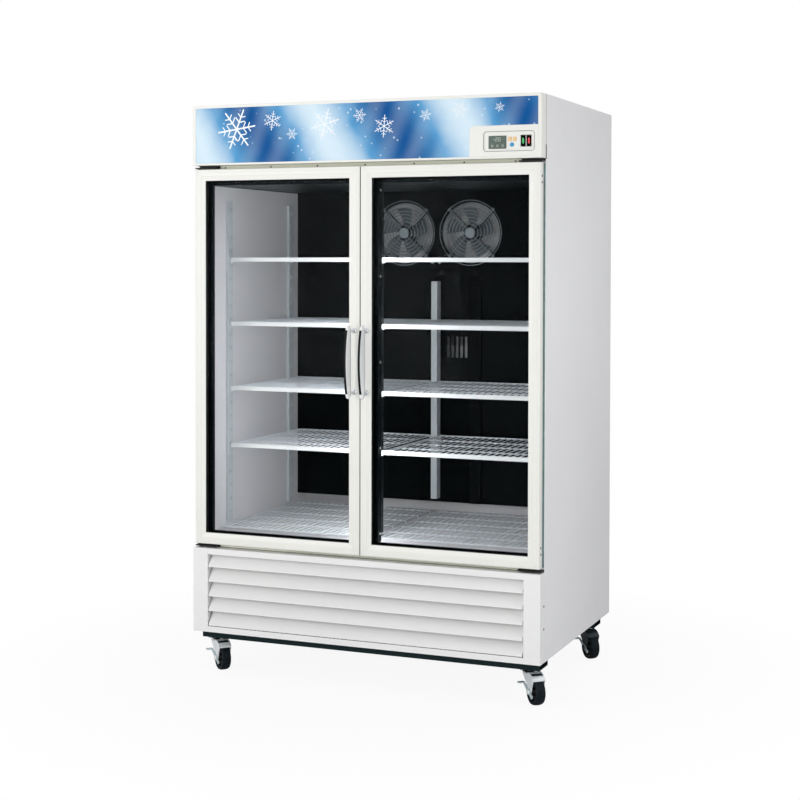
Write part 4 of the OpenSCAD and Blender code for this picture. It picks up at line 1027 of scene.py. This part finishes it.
class FREEZER_OT_doorway(bpy.types.Operator):
    """The breaker collar, mullion, hinge brackets and screws."""
    bl_idname = "freezer.doorway"
    bl_label = "Doorway"

    def execute(self, context):
        self.face()
        rounded_copy("mullion_post", "centre_mullion", PAINTS["dark"], 1.5 * MM, 3)
        rounded_copy("hinge_plates", "hinge_brackets", PAINTS["steel"], 0.6 * MM)
        self.fasteners()
        self.seams()
        return {"FINISHED"}

    def seams(self):
        """Painted shadow in the seams: dark tape where the header and the corner posts meet the
        side panels and a teal-grey strip in the gap beside each door. A soft strip sits on the left
        door where the doors meet."""
        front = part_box("left_side_panel")[0].y
        header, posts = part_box("header_case"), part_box("corner_posts")
        low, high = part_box("left_door_frame")
        edge, split = header[1].x, header[0].z + 46 * MM
        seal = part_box("right_door_gasket")[1].x
        # Each run: inner and outer edge, half its depth, bottom, top and paint.
        # Every run is a strip of painted shadow in a seam or gap.
        runs = (
            (edge - 1.6 * MM, edge + 0.5 * MM, 1.2 * MM, split, header[1].z - 1 * MM, 0),
            (edge - 2.4 * MM, edge + 1.2 * MM, 2.4 * MM, header[0].z - 2 * MM, split, 1),
            (edge - 1.6 * MM, edge + 0.5 * MM, 0.9 * MM,
             posts[0].z + 1 * MM, posts[1].z - 1 * MM, 0),
            (seal + 1 * MM, edge - 1.2 * MM, 1.4 * MM, low.z + 1 * MM, high.z - 1 * MM, 2))
        shape = Shape()
        for inner, outer, half, bottom, top, paint in runs:
            for sign in SIDES.values():
                ends = sorted((sign * inner, sign * outer))
                shape.block((ends[0], front - half, bottom), (ends[1], front + half, top), paint)
        build("panel_tape", shape, "cabinet",
              [PAINTS["seam"], PAINTS["black"], PAINTS["strip"]])
        strip = Shape().block((high.x, low.y + 3 * MM, low.z + 2 * MM),
                              (high.x + 1.3 * MM, high.y - 2 * MM, high.z - 2 * MM))
        build("meeting_strip", strip, "left_door", [PAINTS["gasket"]])

    def face(self):
        """A pale flange round the doorway, a dark collar that steps into it with rolled edges, and
        two blocks that fill the space between them above and below."""
        low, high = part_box("face_frame")
        edge = high.x - (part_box("right_door_gasket")[1].x - 9 * MM)
        sheet, hem, opening = 3 * MM, 1 * MM, 593 * MM
        flange = [(0, low.y), (edge, low.y), (edge, low.y + sheet), (0, low.y + sheet)]
        shape = Shape().mitred((low.x, low.z), (high.x, high.z), flange, 0, 0)
        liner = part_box("inner_liner")
        bottom, top = liner[0].z + 3 * MM, liner[1].z - 3 * MM
        reach = high.x - opening
        front = mm((-40, 0.5), (-3, 0.3), (-1, 0.8), (0, 2)) + (reach, low.y)
        back = mm((0, -1), (-1, 0), (-3, 0)) + (reach, high.y)
        under = mm((-3, 3.5), (-40, 3.2)) + (reach, low.y)
        collar = np.concatenate([front, back, under])
        shape.mitred((low.x, bottom - reach), (high.x, top + reach), collar, 0, 1)
        fill = 38 * MM
        for start, end in ((low.z + edge - hem, bottom - fill), (top + fill, high.z - edge + hem)):
            shape.block((low.x + hem, low.y + 0.1 * MM, start),
                        (high.x - hem, low.y + sheet, end), 0)
        build("breaker_collar", shape, "cabinet", [PAINTS["flange"], PAINTS["dark"]],
              ("face_frame",))

    def fasteners(self):
        """Domed caps up both sides of the mullion, and cross-head screws in the sheet metal."""
        shape = Shape()
        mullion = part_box("centre_mullion")
        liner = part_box("inner_liner")
        floor, ceiling = liner[0].z + 1 * MM, liner[1].z - 1 * MM
        depth = (mullion[0].y + mullion[1].y) / 2 + 1 * MM
        dome = mm((4.4, 0), (4.4, 0.5), (3.6, 1.1), (2, 1.5), (0, 1.6))
        posts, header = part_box("corner_posts"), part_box("header_case")
        for sign in SIDES.values():
            way = (sign, 0, 0)
            for z in np.linspace(floor + 31 * MM, ceiling - 27 * MM, 5):
                shape.lathe(dome, (sign * mullion[1].x, depth, z), way, 20, 0)
        for sign in SIDES.values():
            for rise in mm(112, 187):
                place = (sign * posts[1].x, posts[1].y - 8 * MM, posts[0].z + rise)
                self.screw(shape, place, (sign, 0, 0))
        for x in np.linspace(-540, 540, 7) * MM:
            self.screw(shape, (x, header[1].y, header[0].z - 7 * MM), (0, -1, 0), 0.65)
        build("case_fasteners", shape, "cabinet", [PAINTS["cap"], PAINTS["screw"]],
              ("case_screws",))

    def screw(self, shape, place, way, size=1.0):
        """A low pan head with a dimple."""
        head = mm((4.4, 0), (4.2, 0.4), (2.6, 0.65), (1.3, 0.7), (0.9, 0.25), (0, 0.2))
        shape.lathe(head * (size, 1), place, way, 18, 1)


# ---------------------------------------------------------------- doors


class FREEZER_OT_doors(bpy.types.Operator):
    """Mitred frames, glass units with their border, seals and screws."""
    bl_idname = "freezer.doors"
    bl_label = "Doors"

    def execute(self, context):
        sizes = context.scene.freezer_sizes
        for side in SIDES:
            self.frame(side, sizes)
            self.glass(side, sizes)
            self.seal(side)
        return {"FINISHED"}

    def frame(self, side, sizes):
        """The member's section: a rounded outer edge, a flat with two fine grooves, a slope down to
        the glass with a rolled edge, a pocket for the glass unit and a flat back."""
        low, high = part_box(side + "_door_frame")
        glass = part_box(side + "_door_glass")
        front, back, radius = low.y, high.y, sizes.edge
        seat = glass[0].z - low.z + 0.02 * MM
        inner = glass[0].z - low.z + 12 * MM
        nose = arc((radius, front + radius), radius, 180, 270, 6)
        grooves = mm((7.3, 0), (8, 0.45), (8.7, 0), (10.8, 0), (11.5, 0.45), (12.2, 0)) + (0, front)
        slope = mm((-17, 0), (-15.8, 0.9), (-14.5, 1.1), (-2.5, 2), (-0.7, 2.5), (0, 3.4))
        mouth, floor = front + 5 * MM, front + 29 * MM
        pocket = [(inner, mouth), (seat, mouth), (seat, floor), (inner, floor)]
        rear = [(inner, back - 1 * MM), (inner - 1 * MM, back), (radius, back),
                (0.6 * MM, back - 0.6 * MM)]
        profile = np.concatenate([
            [(0, back - radius)], nose, grooves, slope + (inner, front), pocket, rear])
        shape = Shape().mitred((low.x, low.z), (high.x, high.z), profile, sizes.mitre, 0)
        sign = SIDES[side]
        head = mm((4.2, 0), (4, 0.4), (2, 0.6), (1, 0.2), (0, 0.2))
        for z in mm(1720, 1741, 505, 526):
            place = (sign * beside(low, high)[1], front + 0.5 * (back - front), z)
            shape.lathe(head, place, (sign, 0, 0), 18, 1)
        build(side + "_door_members", shape, side + "_door",
              [PAINTS["upright"], PAINTS["screw"]], (side + "_door_frame",), angle=32)

    def glass(self, side, sizes):
        """Two panes with ground edges, a black border and a spacer with a dulled inner face."""
        low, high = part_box(side + "_door_glass")
        pane, ease, gap = 4 * MM, 0.6 * MM, 0.02 * MM
        panes = Shape()
        outline = rounded((low.x + ease, low.z + ease), (high.x - ease, high.z - ease), 1 * MM, 3)
        for front in (low.y, high.y - pane):
            panes.prism(outline, "y", front + gap, front + pane - gap)
        build(side + "_door_panes", panes, side + "_door", [PAINTS["glass"]],
              (side + "_door_glass",))
        edge = Shape()
        reach = 12 * MM + sizes.border
        first, back = low.y + pane, high.y - pane
        border = [(0.5 * MM, back - 0.25 * MM), (reach, back - 0.25 * MM),
                  (reach, back - 0.05 * MM), (0.5 * MM, back - 0.05 * MM)]
        edge.mitred((low.x, low.z), (high.x, high.z), border, 0, 0)
        spacer = np.concatenate([mm((1, 0.1), (10.4, 0.1), (10.8, 1)) + (0, first),
                                 mm((10.8, -1.3), (10.4, -0.4), (1, -0.4)) + (0, back)])
        edge.mitred((low.x, low.z), (high.x, high.z), spacer, 0, 1)
        build(side + "_glass_edge", edge, side + "_door",
              [PAINTS["black"], PAINTS["spacer"]])

    def seal(self, side):
        """The seal's section: a foot in the door, two folds of bellows and a magnet's box."""
        low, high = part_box(side + "_door_gasket")
        depth = high.y - low.y
        turn = np.linspace(0, 2 * np.pi, 15)
        along = np.linspace(0.05, 0.62, 15) * depth
        outer = [(1.2 * MM + 0.9 * MM * math.cos(a), low.y + d) for a, d in zip(turn, along)]
        inner = [(14 * MM - x, y) for x, y in outer[::-1]]
        box = [(0.4 * MM, low.y + 0.7 * depth), (0.2 * MM, high.y - 0.6 * MM), (0.9 * MM, high.y)]
        box += [(14 * MM - x, y) for x, y in box[::-1]]
        profile = [(3 * MM, low.y)] + outer + box + inner + [(11 * MM, low.y)]
        shape = Shape().mitred((low.x, low.z), (high.x, high.z), profile, 0)
        build(side + "_door_seal", shape, side + "_door", [PAINTS["gasket"]],
              (side + "_door_gasket",))


class FREEZER_OT_handles(bpy.types.Operator):
    """Bowed white grips with a black inlay on chrome posts."""
    bl_idname = "freezer.handles"
    bl_label = "Handles"

    def execute(self, context):
        for side, sign in SIDES.items():
            self.handle(side, sign)
        return {"FINISHED"}

    def handle(self, side, sign):
        """The grip's section is a superellipse. Along the grip, its back stays straight and its
        front follows a circle through the middle. Both are drawn in at the ends by a quarter
        ellipse."""
        low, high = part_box(side + "_door_handle")
        door_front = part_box(side + "_door_frame")[0].y
        middle = (low.z + high.z) / 2
        half = (high.z - low.z) / 2
        near, far = beside(low, high)
        x = sign * (far - 5 * MM)
        back = door_front - 28 * MM
        bow = 20 * MM
        radius = (half ** 2 + bow ** 2) / (2 * bow)
        along = np.sin(np.linspace(-math.pi / 2, math.pi / 2, 61)) * half
        front = low.y + 0.4 * MM + radius - np.sqrt(radius ** 2 - along ** 2)
        tip = 9 * MM
        end = np.sqrt(np.clip(1 - ((np.abs(along) - (half - tip)).clip(0) / tip) ** 2, 0, 1))
        centre = (front + back) / 2
        deep = (back - front) / 2 * (0.12 + 0.88 * end)
        wide = 4.9 * MM * (0.25 + 0.75 * end)
        turn = np.linspace(0, 2 * np.pi, 32, endpoint=False)
        power = 0.55
        across = np.sign(np.cos(turn)) * np.abs(np.cos(turn)) ** power
        forth = np.sign(np.sin(turn)) * np.abs(np.sin(turn)) ** power
        rings = np.stack([x + wide[:, None] * across, centre[:, None] + deep[:, None] * forth,
                          np.broadcast_to((middle + along)[:, None], (61, 32))], -1)
        shape = Shape().loft(rings, 0)
        inside = np.abs(along) < half - 16 * MM
        outline = rounded((-4 * MM, -0.35 * MM), (4 * MM, 1.5 * MM), 0.3 * MM, 3)
        size = (inside.sum(), len(outline))
        strip = np.stack([
            np.broadcast_to(x + outline[:, 0], size), front[inside][:, None] + outline[:, 1],
            np.broadcast_to((middle + along[inside])[:, None], size)], -1)
        shape.loft(strip, 3)
        spine = rounded(
            (x - 4.6 * MM, back - 0.7 * MM), (x + 4.6 * MM, back + 0.2 * MM), 0.4 * MM, 4)
        shape.prism(spine, "z", middle - half + tip, middle + half - tip, 1)
        post = mm((0, 0), (8.9, 0), (8.9, 1.6), (7.4, 2.8), (5.4, 3.2), (5, 4.4), (5, 26),
                  (5.6, 28), (5.4, 31), (0, 32))
        for rise in mm(-105, 105):
            place = (sign * (near + 9 * MM), door_front, middle + rise)
            shape.lathe(post, place, (0, -1, 0), 32, 2)
        build(side + "_door_grip", shape, side + "_door",
              [PAINTS["grip"], PAINTS["spine"], PAINTS["chrome"], PAINTS["inlay"]],
              (side + "_door_handle",), angle=50)


# ---------------------------------------------------------------- inside


class FREEZER_OT_shelves(bpy.types.Operator):
    """Wire shelves and floor racks, price rails, standards and clips."""
    bl_idname = "freezer.shelves"
    bl_label = "Shelves"

    def execute(self, context):
        sizes = context.scene.freezer_sizes
        dress(PAINTS["standard"], "shelf_standards")
        dress(PAINTS["wire"], "shelf_clips")
        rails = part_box("price_rails")
        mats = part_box("wire_shelves")
        inner = min(abs(v.co.x) for v in NODES["price_rails"].data.vertices)
        levels = shelf_levels()
        wires = Shape()
        labels = Shape()
        for sign in SIDES.values():
            for bottom, top in levels:
                deck = top - 2 * MM
                self.mat(wires, sizes, sign, inner, rails[1].x, rails[1].y, mats[1].y, deck)
                self.rail(labels, sign, inner, rails[1].x, rails, bottom, top)
            self.rack(wires, sizes, sign, inner, mats)
        build("shelf_wires", wires, "cabinet", [PAINTS["wire"]], ("wire_shelves",))
        build("price_strips", labels, "cabinet", [PAINTS["label"]],
              ("price_rails",), angle=30)
        return {"FINISHED"}

    def mat(self, shape, sizes, sign, inner, outer, front, back, deck):
        """Wires from front to back lie on three cross wires, inside a rim with rounded corners."""
        rim, wire = sizes.rim_wire, sizes.wire
        corner = 14 * MM
        outline = rounded((inner + rim, front + rim), (outer - rim, back - rim), corner, 6)
        outline[:, 0] *= sign
        shape.tube(lift(outline, "z", deck - rim), rim, 8, closed=True)
        places = np.linspace(inner, outer, sizes.wire_count + 2)[1:-1]
        for x in places:
            ends = [(sign * x, front + rim, deck - wire), (sign * x, back - rim, deck - wire)]
            shape.tube(ends, wire, 8)
        for share in (0.25, 0.5, 0.75):
            y, z = front + share * (back - front), deck - 2.6 * wire
            ends = [(sign * (inner + rim), y, z), (sign * (outer - rim), y, z)]
            shape.tube(ends, wire * 1.15, 8)

    def rail(self, shape, sign, inner, outer, rails, bottom, top):
        """A sloping strip with a lip along both edges that would hold a card."""
        front, back = rails[0].y, rails[1].y
        crest = front + (back - front) / 2
        upper = mm((0, 0), (-0.4, -0.8), (-0.2, -2), (0.9, -2.3)) + (crest, top)
        lower = mm((1.3, 2.4), (0.1, 2.1), (0, 0.7), (0.5, 0)) + (front, bottom)
        outline = np.concatenate([[(back, bottom), (back, top)], upper, lower])
        ends = sorted((sign * inner, sign * outer))
        shape.prism(outline, "x", ends[0], ends[1])

    def rack(self, shape, sizes, sign, inner, mats):
        """A raised rack on the floor, on bent runners."""
        wire = sizes.wire
        floor = mats[0].z
        deck = floor + 17 * MM
        first, last = inner + 2 * MM, mats[1].x
        front, back = mats[0].y, mats[1].y
        for x in np.linspace(first + wire, last - 12 * MM, sizes.wire_count + 2):
            ends = [(sign * x, front + 4 * MM, deck - wire), (sign * x, back, deck - wire)]
            shape.tube(ends, wire, 8)
        for share in np.linspace(0.02, 0.98, 6):
            y, foot, top = front + share * (back - front), floor + wire * 1.2, deck - 3 * wire
            near, far = first + wire, last - 12 * MM
            path = np.array([(near, y, foot), (near, y, top), (far, y, top), (far, y, foot)])
            path = self.bent(path * (sign, 1, 1), 6 * MM)
            shape.tube(path, wire * 1.2, 8, up=(0, 1, 0))

    @staticmethod
    def bent(path, radius):
        """The path with each corner replaced by a quadratic curve between two points near it."""
        points = [path[0]]
        for before, corner, after in zip(path, path[1:], path[2:]):
            start = corner + unit(before - corner) * radius
            end = corner + unit(after - corner) * radius
            points += list(bend(start, corner, end, 6))
        return np.array(points + [path[-1]])


class FREEZER_OT_cooling(bpy.types.Operator):
    """The duct panel, the evaporator and its fans, guards and motors."""
    bl_idname = "freezer.cooling"
    bl_label = "Cooling"

    def execute(self, context):
        sizes = context.scene.freezer_sizes
        rounded_copy("duct_sheet", "duct_panel", PAINTS["duct"], 0.4 * MM)
        dress(PAINTS["coil"], "evaporator")
        low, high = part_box("fan_mounts")
        guards = Shape()
        for side, sign in SIDES.items():
            joint = JOINTS[side + "_fan_spin"]["pos_m"]
            self.guard(guards, sizes, joint, high.x - abs(joint[0]), low.y)
            self.motor(guards, joint, high.y)
            fan_blades(side + "_fan", sizes.blade_count)
        build("fan_guards", guards, "cabinet", [PAINTS["guard"], PAINTS["machine"]],
              ("fan_mounts",))
        return {"FINISHED"}

    def guard(self, shape, sizes, joint, radius, front):
        """Rings that bulge forward at the middle, on four spokes that bend back to the panel."""
        wire = sizes.guard_wire
        seat = front + 14 * MM
        bulge = 5 * MM
        for share in np.linspace(0.16, 1, sizes.guard_rings):
            y = front + wire + bulge * share ** 2
            shape.ring((joint[0], y, joint[2]), "y", radius * share - wire, wire, 72, 6)
        for turn in np.radians((45, 135, 225, 315)):
            share = np.linspace(0.1, 1, 12)
            reach = radius * share - wire
            depth = front + 2.6 * wire + bulge * share ** 2
            path = around(joint, turn, reach, depth)
            foot = path[-1] + (0, seat - path[-1][1], 0)
            shape.tube(np.concatenate([path, [foot]]), wire, 6, up=(0, 1, 0.02))
            shape.lathe(mm((0, -2), (6, -1.8), (6.5, 0), (0, 0)), foot, (0, 1, 0), 16)
        plate = [(0, 0), (radius * 0.14, 0), (radius * 0.16, 0.8 * MM), (radius * 0.15, 1.6 * MM),
                 (0, 1.6 * MM)]
        shape.lathe(plate, (joint[0], front + 0.4 * MM, joint[2]), (0, 1, 0), 28)

    def motor(self, shape, joint, back):
        """A can motor with a cooling groove, on four bent arms."""
        front = back - 42 * MM
        can = mm((0, 0), (20, 0), (31, 2), (34, 6), (34, 17), (32, 19), (34, 21), (34, 37),
                 (30, 42), (0, 42))
        shape.lathe(can, (joint[0], front, joint[2]), (0, 1, 0), 36, 1)
        shaft = mm((0, 0), (3, 0), (3, 14), (0, 14))
        shape.lathe(shaft, (joint[0], front - 14 * MM, joint[2]), (0, 1, 0), 14, 0)
        for turn in np.radians((45, 135, 225, 315)):
            path = around(joint, turn, mm(30, 60, 110, 116, 118), mm(20, 21, 20, 8, -7.5) + front)
            shape.tube(path, 2.6 * MM, 8, up=(math.sin(turn), 0, -math.cos(turn)), paint=1)


def around(joint, turn, reach, depth):
    """Points at these distances from a fan's axis, in one direction, and at these depths."""
    return np.stack(
        [joint[0] + reach * math.cos(turn), depth, joint[2] + reach * math.sin(turn)], 1)


def fan_blades(node, count):
    """Blades on a hub. Along a blade from root to tip its width grows and its pitch falls; across
    it, the blade follows an arc. Its thickness tapers to both edges."""
    low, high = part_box(node)
    joint = JOINTS[node + "_spin"]["pos_m"]
    centre = np.array([joint[0], (low.y + high.y) / 2, joint[2]])
    depth = high.y - low.y
    tip = (high.z - joint[2]) * 0.985
    hub = 20 * MM
    shape = Shape()
    half = depth / 2
    shape.lathe([(0, -half), (hub * 0.7, -half), (hub, -half * 0.7), (hub, half * 0.95),
                 (hub * 0.8, half), (0, half)], centre, (0, 1, 0), 32)
    along, across = np.meshgrid(np.linspace(0, 1, 14), np.linspace(-1, 1, 15), indexing="ij")
    reach = hub * 0.9 + (tip - hub * 0.9) * along
    sweep = 0.35 * along + across * (0.42 - 0.04 * along) * (1 - 0.18 * along ** 6)
    pitch = across * half * (0.92 - 0.3 * along)
    camber = (1 - across ** 2) * half * 0.22
    thick = 0.9 * MM * (1 - across ** 2) + 0.25 * MM
    for step in range(count):
        turn = sweep + step * 2 * math.pi / count
        sheets = []
        for face in (-1, 1):
            y = centre[1] + pitch - camber + face * thick
            sheets.append(np.stack(
                [centre[0] + reach * np.cos(turn), y, centre[2] + reach * np.sin(turn)], -1))
        loop = np.concatenate([sheets[0], sheets[1][:, ::-1]], 1)
        shape.loft(loop)
    build(node + "_blades", shape, node, [PAINTS["fan"]], (node,))


# ---------------------------------------------------------------- base


class FREEZER_OT_kick(bpy.types.Operator):
    """The louvre grille, corner posts, rails and grommet."""
    bl_idname = "freezer.kick"
    bl_label = "Kick plate"

    def execute(self, context):
        sizes = context.scene.freezer_sizes
        rounded_copy("louvre_sheet", "louvre_grille", PAINTS["kick"], 0.7 * MM)
        rounded_copy("post_sheets", "corner_posts", PAINTS["kick"], sizes.edge * 0.5, 3)
        rounded_copy("rail_tubes", "base_rails", PAINTS["rail"], sizes.edge, 3)
        rounded_copy("cord_grommet", "cord_gland", PAINTS["rubber"], 0.8 * MM)
        return {"FINISHED"}


class FREEZER_OT_machine(bpy.types.Operator):
    """Compressor, condenser, shroud, fan and pan behind the louvres."""
    bl_idname = "freezer.machine"
    bl_label = "Machine space"

    def execute(self, context):
        dress(PAINTS["machine"], "compressor")
        dress(PAINTS["radiator"], "condenser")
        rounded_copy("shroud_shell", "condenser_shroud", PAINTS["pan"], 0.5 * MM)
        rounded_copy("drip_pan", "condensate_pan", PAINTS["pan"], 0.6 * MM)
        fan_blades("condenser_fan", context.scene.freezer_sizes.blade_count)
        return {"FINISHED"}


class FREEZER_OT_casters(bpy.types.Operator):
    """Swivel casters: plate, race, fork, wheel and foot brake."""
    bl_idname = "freezer.casters"
    bl_label = "Casters"

    def execute(self, context):
        plates = Shape()
        for end in ("front", "rear"):
            for side in SIDES:
                self.corner = end + "_" + side
                self.pivot = np.array(JOINTS[self.corner + "_swivel"]["pos_m"])
                self.axle = np.array(JOINTS[self.corner + "_roll"]["pos_m"])
                self.across = np.array(JOINTS[self.corner + "_roll"]["axis"])
                self.ahead = np.cross((0, 0, 1), self.across)
                self.trail = float(np.linalg.norm((self.axle - self.pivot)[:2]))
                self.plate(plates)
                self.fork()
                self.wheel()
                self.brake()
        build("caster_tops", plates, "cabinet", [PAINTS["zinc"], PAINTS["machine"]],
              ("caster_plates",), edge=0.5 * MM)
        return {"FINISHED"}

    def turned(self, shape):
        """Turns a shape drawn about the swivel axis, its axle along X, to this caster's place."""
        for k, points in enumerate(shape.points):
            flat = self.across * points[:, :1] + self.ahead * points[:, 1:2]
            rise = points[:, 2:] * np.array((0, 0, 1.0))
            shape.points[k] = flat + (self.pivot[0], self.pivot[1], 0) + rise
        return shape

    def plate(self, shape):
        """A square plate with four bolts, and a race with a rolled edge below it."""
        half, bolts = 32 * MM, 24 * MM
        x, y, top = self.pivot[0], self.pivot[1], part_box("caster_plates")[1].z
        outline = rounded((x - half, y - half), (x + half, y + half), 5 * MM)
        shape.prism(outline, "z", top - 3 * MM, top)
        race = mm((0, -9.2), (17, -9.2), (21.4, -8.2), (22, -6), (20.5, -4), (21, -3), (0, -3))
        shape.lathe(race, (x, y, top), (0, 0, 1), 40, 1)
        for dx in (-bolts, bolts):
            for dy in (-bolts, bolts):
                shape.prism(disc((x + dx, y + dy), 6 * MM, 6), "z", top - 6.5 * MM, top - 3 * MM)

    def fork(self):
        """A pressed fork: a crown, two legs that taper to round ends, and a hood over the wheel
        whose middle band is sunk and painted dark, painted shade that stands for a window. The
        hood's side follows a quadratic curve from the crown to its lip."""
        node = self.corner + "_fork"
        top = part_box(node)[1].z
        trail, axle_z = self.trail, self.axle[2]
        leg_in, leg_out = 20 * MM, 23 * MM
        crown, knee, lip = mm((-24, -0.4), (-50, -1), (-25.5, 43)) + (
            (0, top), (0, top), (-trail, axle_z))
        hood = bend(crown, knee, lip, 17)
        shape = Shape()
        outline = rounded((-leg_out, -26 * MM), (leg_out, 21 * MM), 6 * MM)
        shape.prism(outline, "z", top - 6.5 * MM, top - 0.2 * MM, 1)
        end = arc((-trail, axle_z), 12 * MM, 190, 355, 14)
        rear = mm((22, 18), (20, -10), (20, -0.4)) + ((-trail, axle_z), (0, top), (0, top))
        outline = np.concatenate([end, rear, hood, lip + mm((0.5, -5), (5, -16))])
        for x in (-leg_out, leg_in):
            shape.prism(outline, "x", x, x + 3 * MM)
        # The hood's middle band is sunk and takes the shaded zinc, painted shade that stands for a
        # window onto the dark inside.
        for part, sunk, paint in ((hood[:5], 0, 0), (hood[10:], 0, 0), (hood[4:11], 1.6 * MM, 1)):
            skin = np.concatenate([part, part[::-1] + mm(0.8, -2.4)]) + (sunk / 2, -sunk)
            shape.prism(skin, "x", -leg_in, leg_in, paint)
        shape.prism(lip + mm((0, 0), (0, -5), (2.4, -4), (2.4, 0)), "x", -leg_in, leg_in)
        head = mm((0, -4), (3, -4), (7.4, -3.4), (8, -2.4), (8, 0), (0, 0))
        reach = 31.4 * MM
        shape.lathe(head, (-reach + 4 * MM, -trail, axle_z), (1, 0, 0), 24)
        shape.lathe(head, (leg_out, -trail, axle_z), (-1, 0, 0), 24)
        pin = [(0, -reach), (4 * MM, -reach), (4 * MM, leg_out + 1 * MM), (0, leg_out + 1 * MM)]
        shape.lathe(pin, (0, -trail, axle_z), (1, 0, 0), 20)
        # Lit and shaded copies of one zinc: painted light on the front forks, painted shade on the
        # rear ones.
        skin = PAINTS["bright" if self.corner.startswith("front") else "dull"]
        build(self.corner + "_fork_pressing", self.turned(shape), node,
              [skin, PAINTS["shade"]], (node,), edge=0.6 * MM)

    def wheel(self):
        """A tyre with two grooves on a dished core, turned in one profile each."""
        node = self.corner + "_wheel"
        radius, half = self.axle[2], 16 * MM
        shape = Shape()
        crown = np.linspace(-1, 1, 25)
        tread = radius - 3.2 * MM * np.abs(crown) ** 3.5
        tread = tread - 0.8 * MM * np.exp(-((np.abs(crown) - 0.42) / 0.07) ** 2)
        rim, lip = radius - 9 * MM, radius - 8 * MM
        tyre = [(rim, -half + 2 * MM), (lip, -half), *zip(tread, crown * half), (lip, half),
                (rim, half - 2 * MM), (rim, -half + 2 * MM)]
        shape.lathe(tyre, self.axle, self.across, 72, 0)
        web, hub, bore, wide = mm(6, 13, 4.05, 19.7)
        core = [(rim, half - 2.2 * MM), (radius - 12 * MM, half - 3.5 * MM),
                (radius - 14 * MM, web), (hub + 2 * MM, web), (hub, web + 2 * MM),
                (hub - 1.5 * MM, wide), (bore, wide)]
        core = core + [(r, -h) for r, h in core[::-1]] + [core[0]]
        shape.lathe(core, self.axle, self.across, 48, 1)
        build(self.corner + "_tyre", shape, node, [PAINTS["tyre"], PAINTS["hub"]],
              (node,))

    def brake(self):
        """A stamped lever on the axle: a bar whose half width varies along it, from a broad tail
        past the eye to a ribbed tread plate turned out sideways."""
        node = self.corner + "_brake"
        left, sheet = -27.2 * MM, 3.8 * MM
        tread = np.array([2 * MM, self.axle[2] + 22 * MM])
        eye = np.array([-self.trail, self.axle[2]])
        way = unit(tread - eye)
        over = np.array([-way[1], way[0]])
        spots = mm(-30, -28.5, -18, -10, -6, 0, 6, 12, 30, 44)
        half = mm(4, 6.4, 6, 5.4, 7.4, 9, 7.4, 5.6, 4.8, 4.4)[:, None]
        line = eye + spots[:, None] * way
        shape = Shape().prism(np.concatenate([line + half * over, (line - half * over)[::-1]]),
                              "x", left, left + sheet)
        bottom, top = tread[1] + 0.1 * MM, tread[1] + 3.3 * MM
        plate = rounded(
            (left - 20 * MM, tread[0] - 9 * MM), (left + sheet, tread[0] + 9 * MM), 3 * MM)
        shape.prism(plate, "z", bottom, top)
        for step in range(4):
            x = left - (16.5 - 4.6 * step) * MM
            rib = rounded(
                (x - 1 * MM, tread[0] - 7 * MM), (x + 1 * MM, tread[0] + 7 * MM), 0.9 * MM, 4)
            shape.prism(rib, "z", top - 0.2 * MM, top + 0.6 * MM)
        build(self.corner + "_brake_lever", self.turned(shape), node,
              [PAINTS["lever"]], (node,), edge=0.5 * MM)


# ---------------------------------------------------------------- add-on


class FREEZER_PT_panel(bpy.types.Panel):
    """Lists the pieces and the stage."""
    bl_idname = "FREEZER_PT_panel"
    bl_label = "Freezer"
    bl_space_type = "VIEW_3D"
    bl_region_type = "UI"
    bl_category = "Freezer"

    def draw(self, context):
        for operator in OPERATORS:
            self.layout.operator(operator.bl_idname)
        for group in ("freezer_sizes", "freezer_colours", "freezer_light"):
            column = self.layout.column()
            settings = getattr(context.scene, group)
            for key in settings.__annotations__:
                column.prop(settings, key)


GROUPS = {"freezer_sizes": FreezerSizes, "freezer_colours": FreezerColours,
          "freezer_light": FreezerLight}
OPERATORS = (
    FREEZER_OT_stage, FREEZER_OT_case, FREEZER_OT_header, FREEZER_OT_controls, FREEZER_OT_doorway,
    FREEZER_OT_doors, FREEZER_OT_handles, FREEZER_OT_shelves, FREEZER_OT_cooling, FREEZER_OT_kick,
    FREEZER_OT_machine, FREEZER_OT_casters)


def register():
    for group in GROUPS.values():
        bpy.utils.register_class(group)
    for operator in OPERATORS:
        bpy.utils.register_class(operator)
    bpy.utils.register_class(FREEZER_PT_panel)
    for name, group in GROUPS.items():
        setattr(bpy.types.Scene, name, PointerProperty(type=group))


def unregister():
    for name in GROUPS:
        delattr(bpy.types.Scene, name)
    for made in (FREEZER_PT_panel, *OPERATORS, *GROUPS.values()):
        bpy.utils.unregister_class(made)


def main():
    register()
    mix_paints(bpy.context.scene.freezer_colours)
    for operator in OPERATORS:
        group, name = operator.bl_idname.split(".")
        getattr(getattr(bpy.ops, group), name)()


if __name__ == "__main__":
    main()
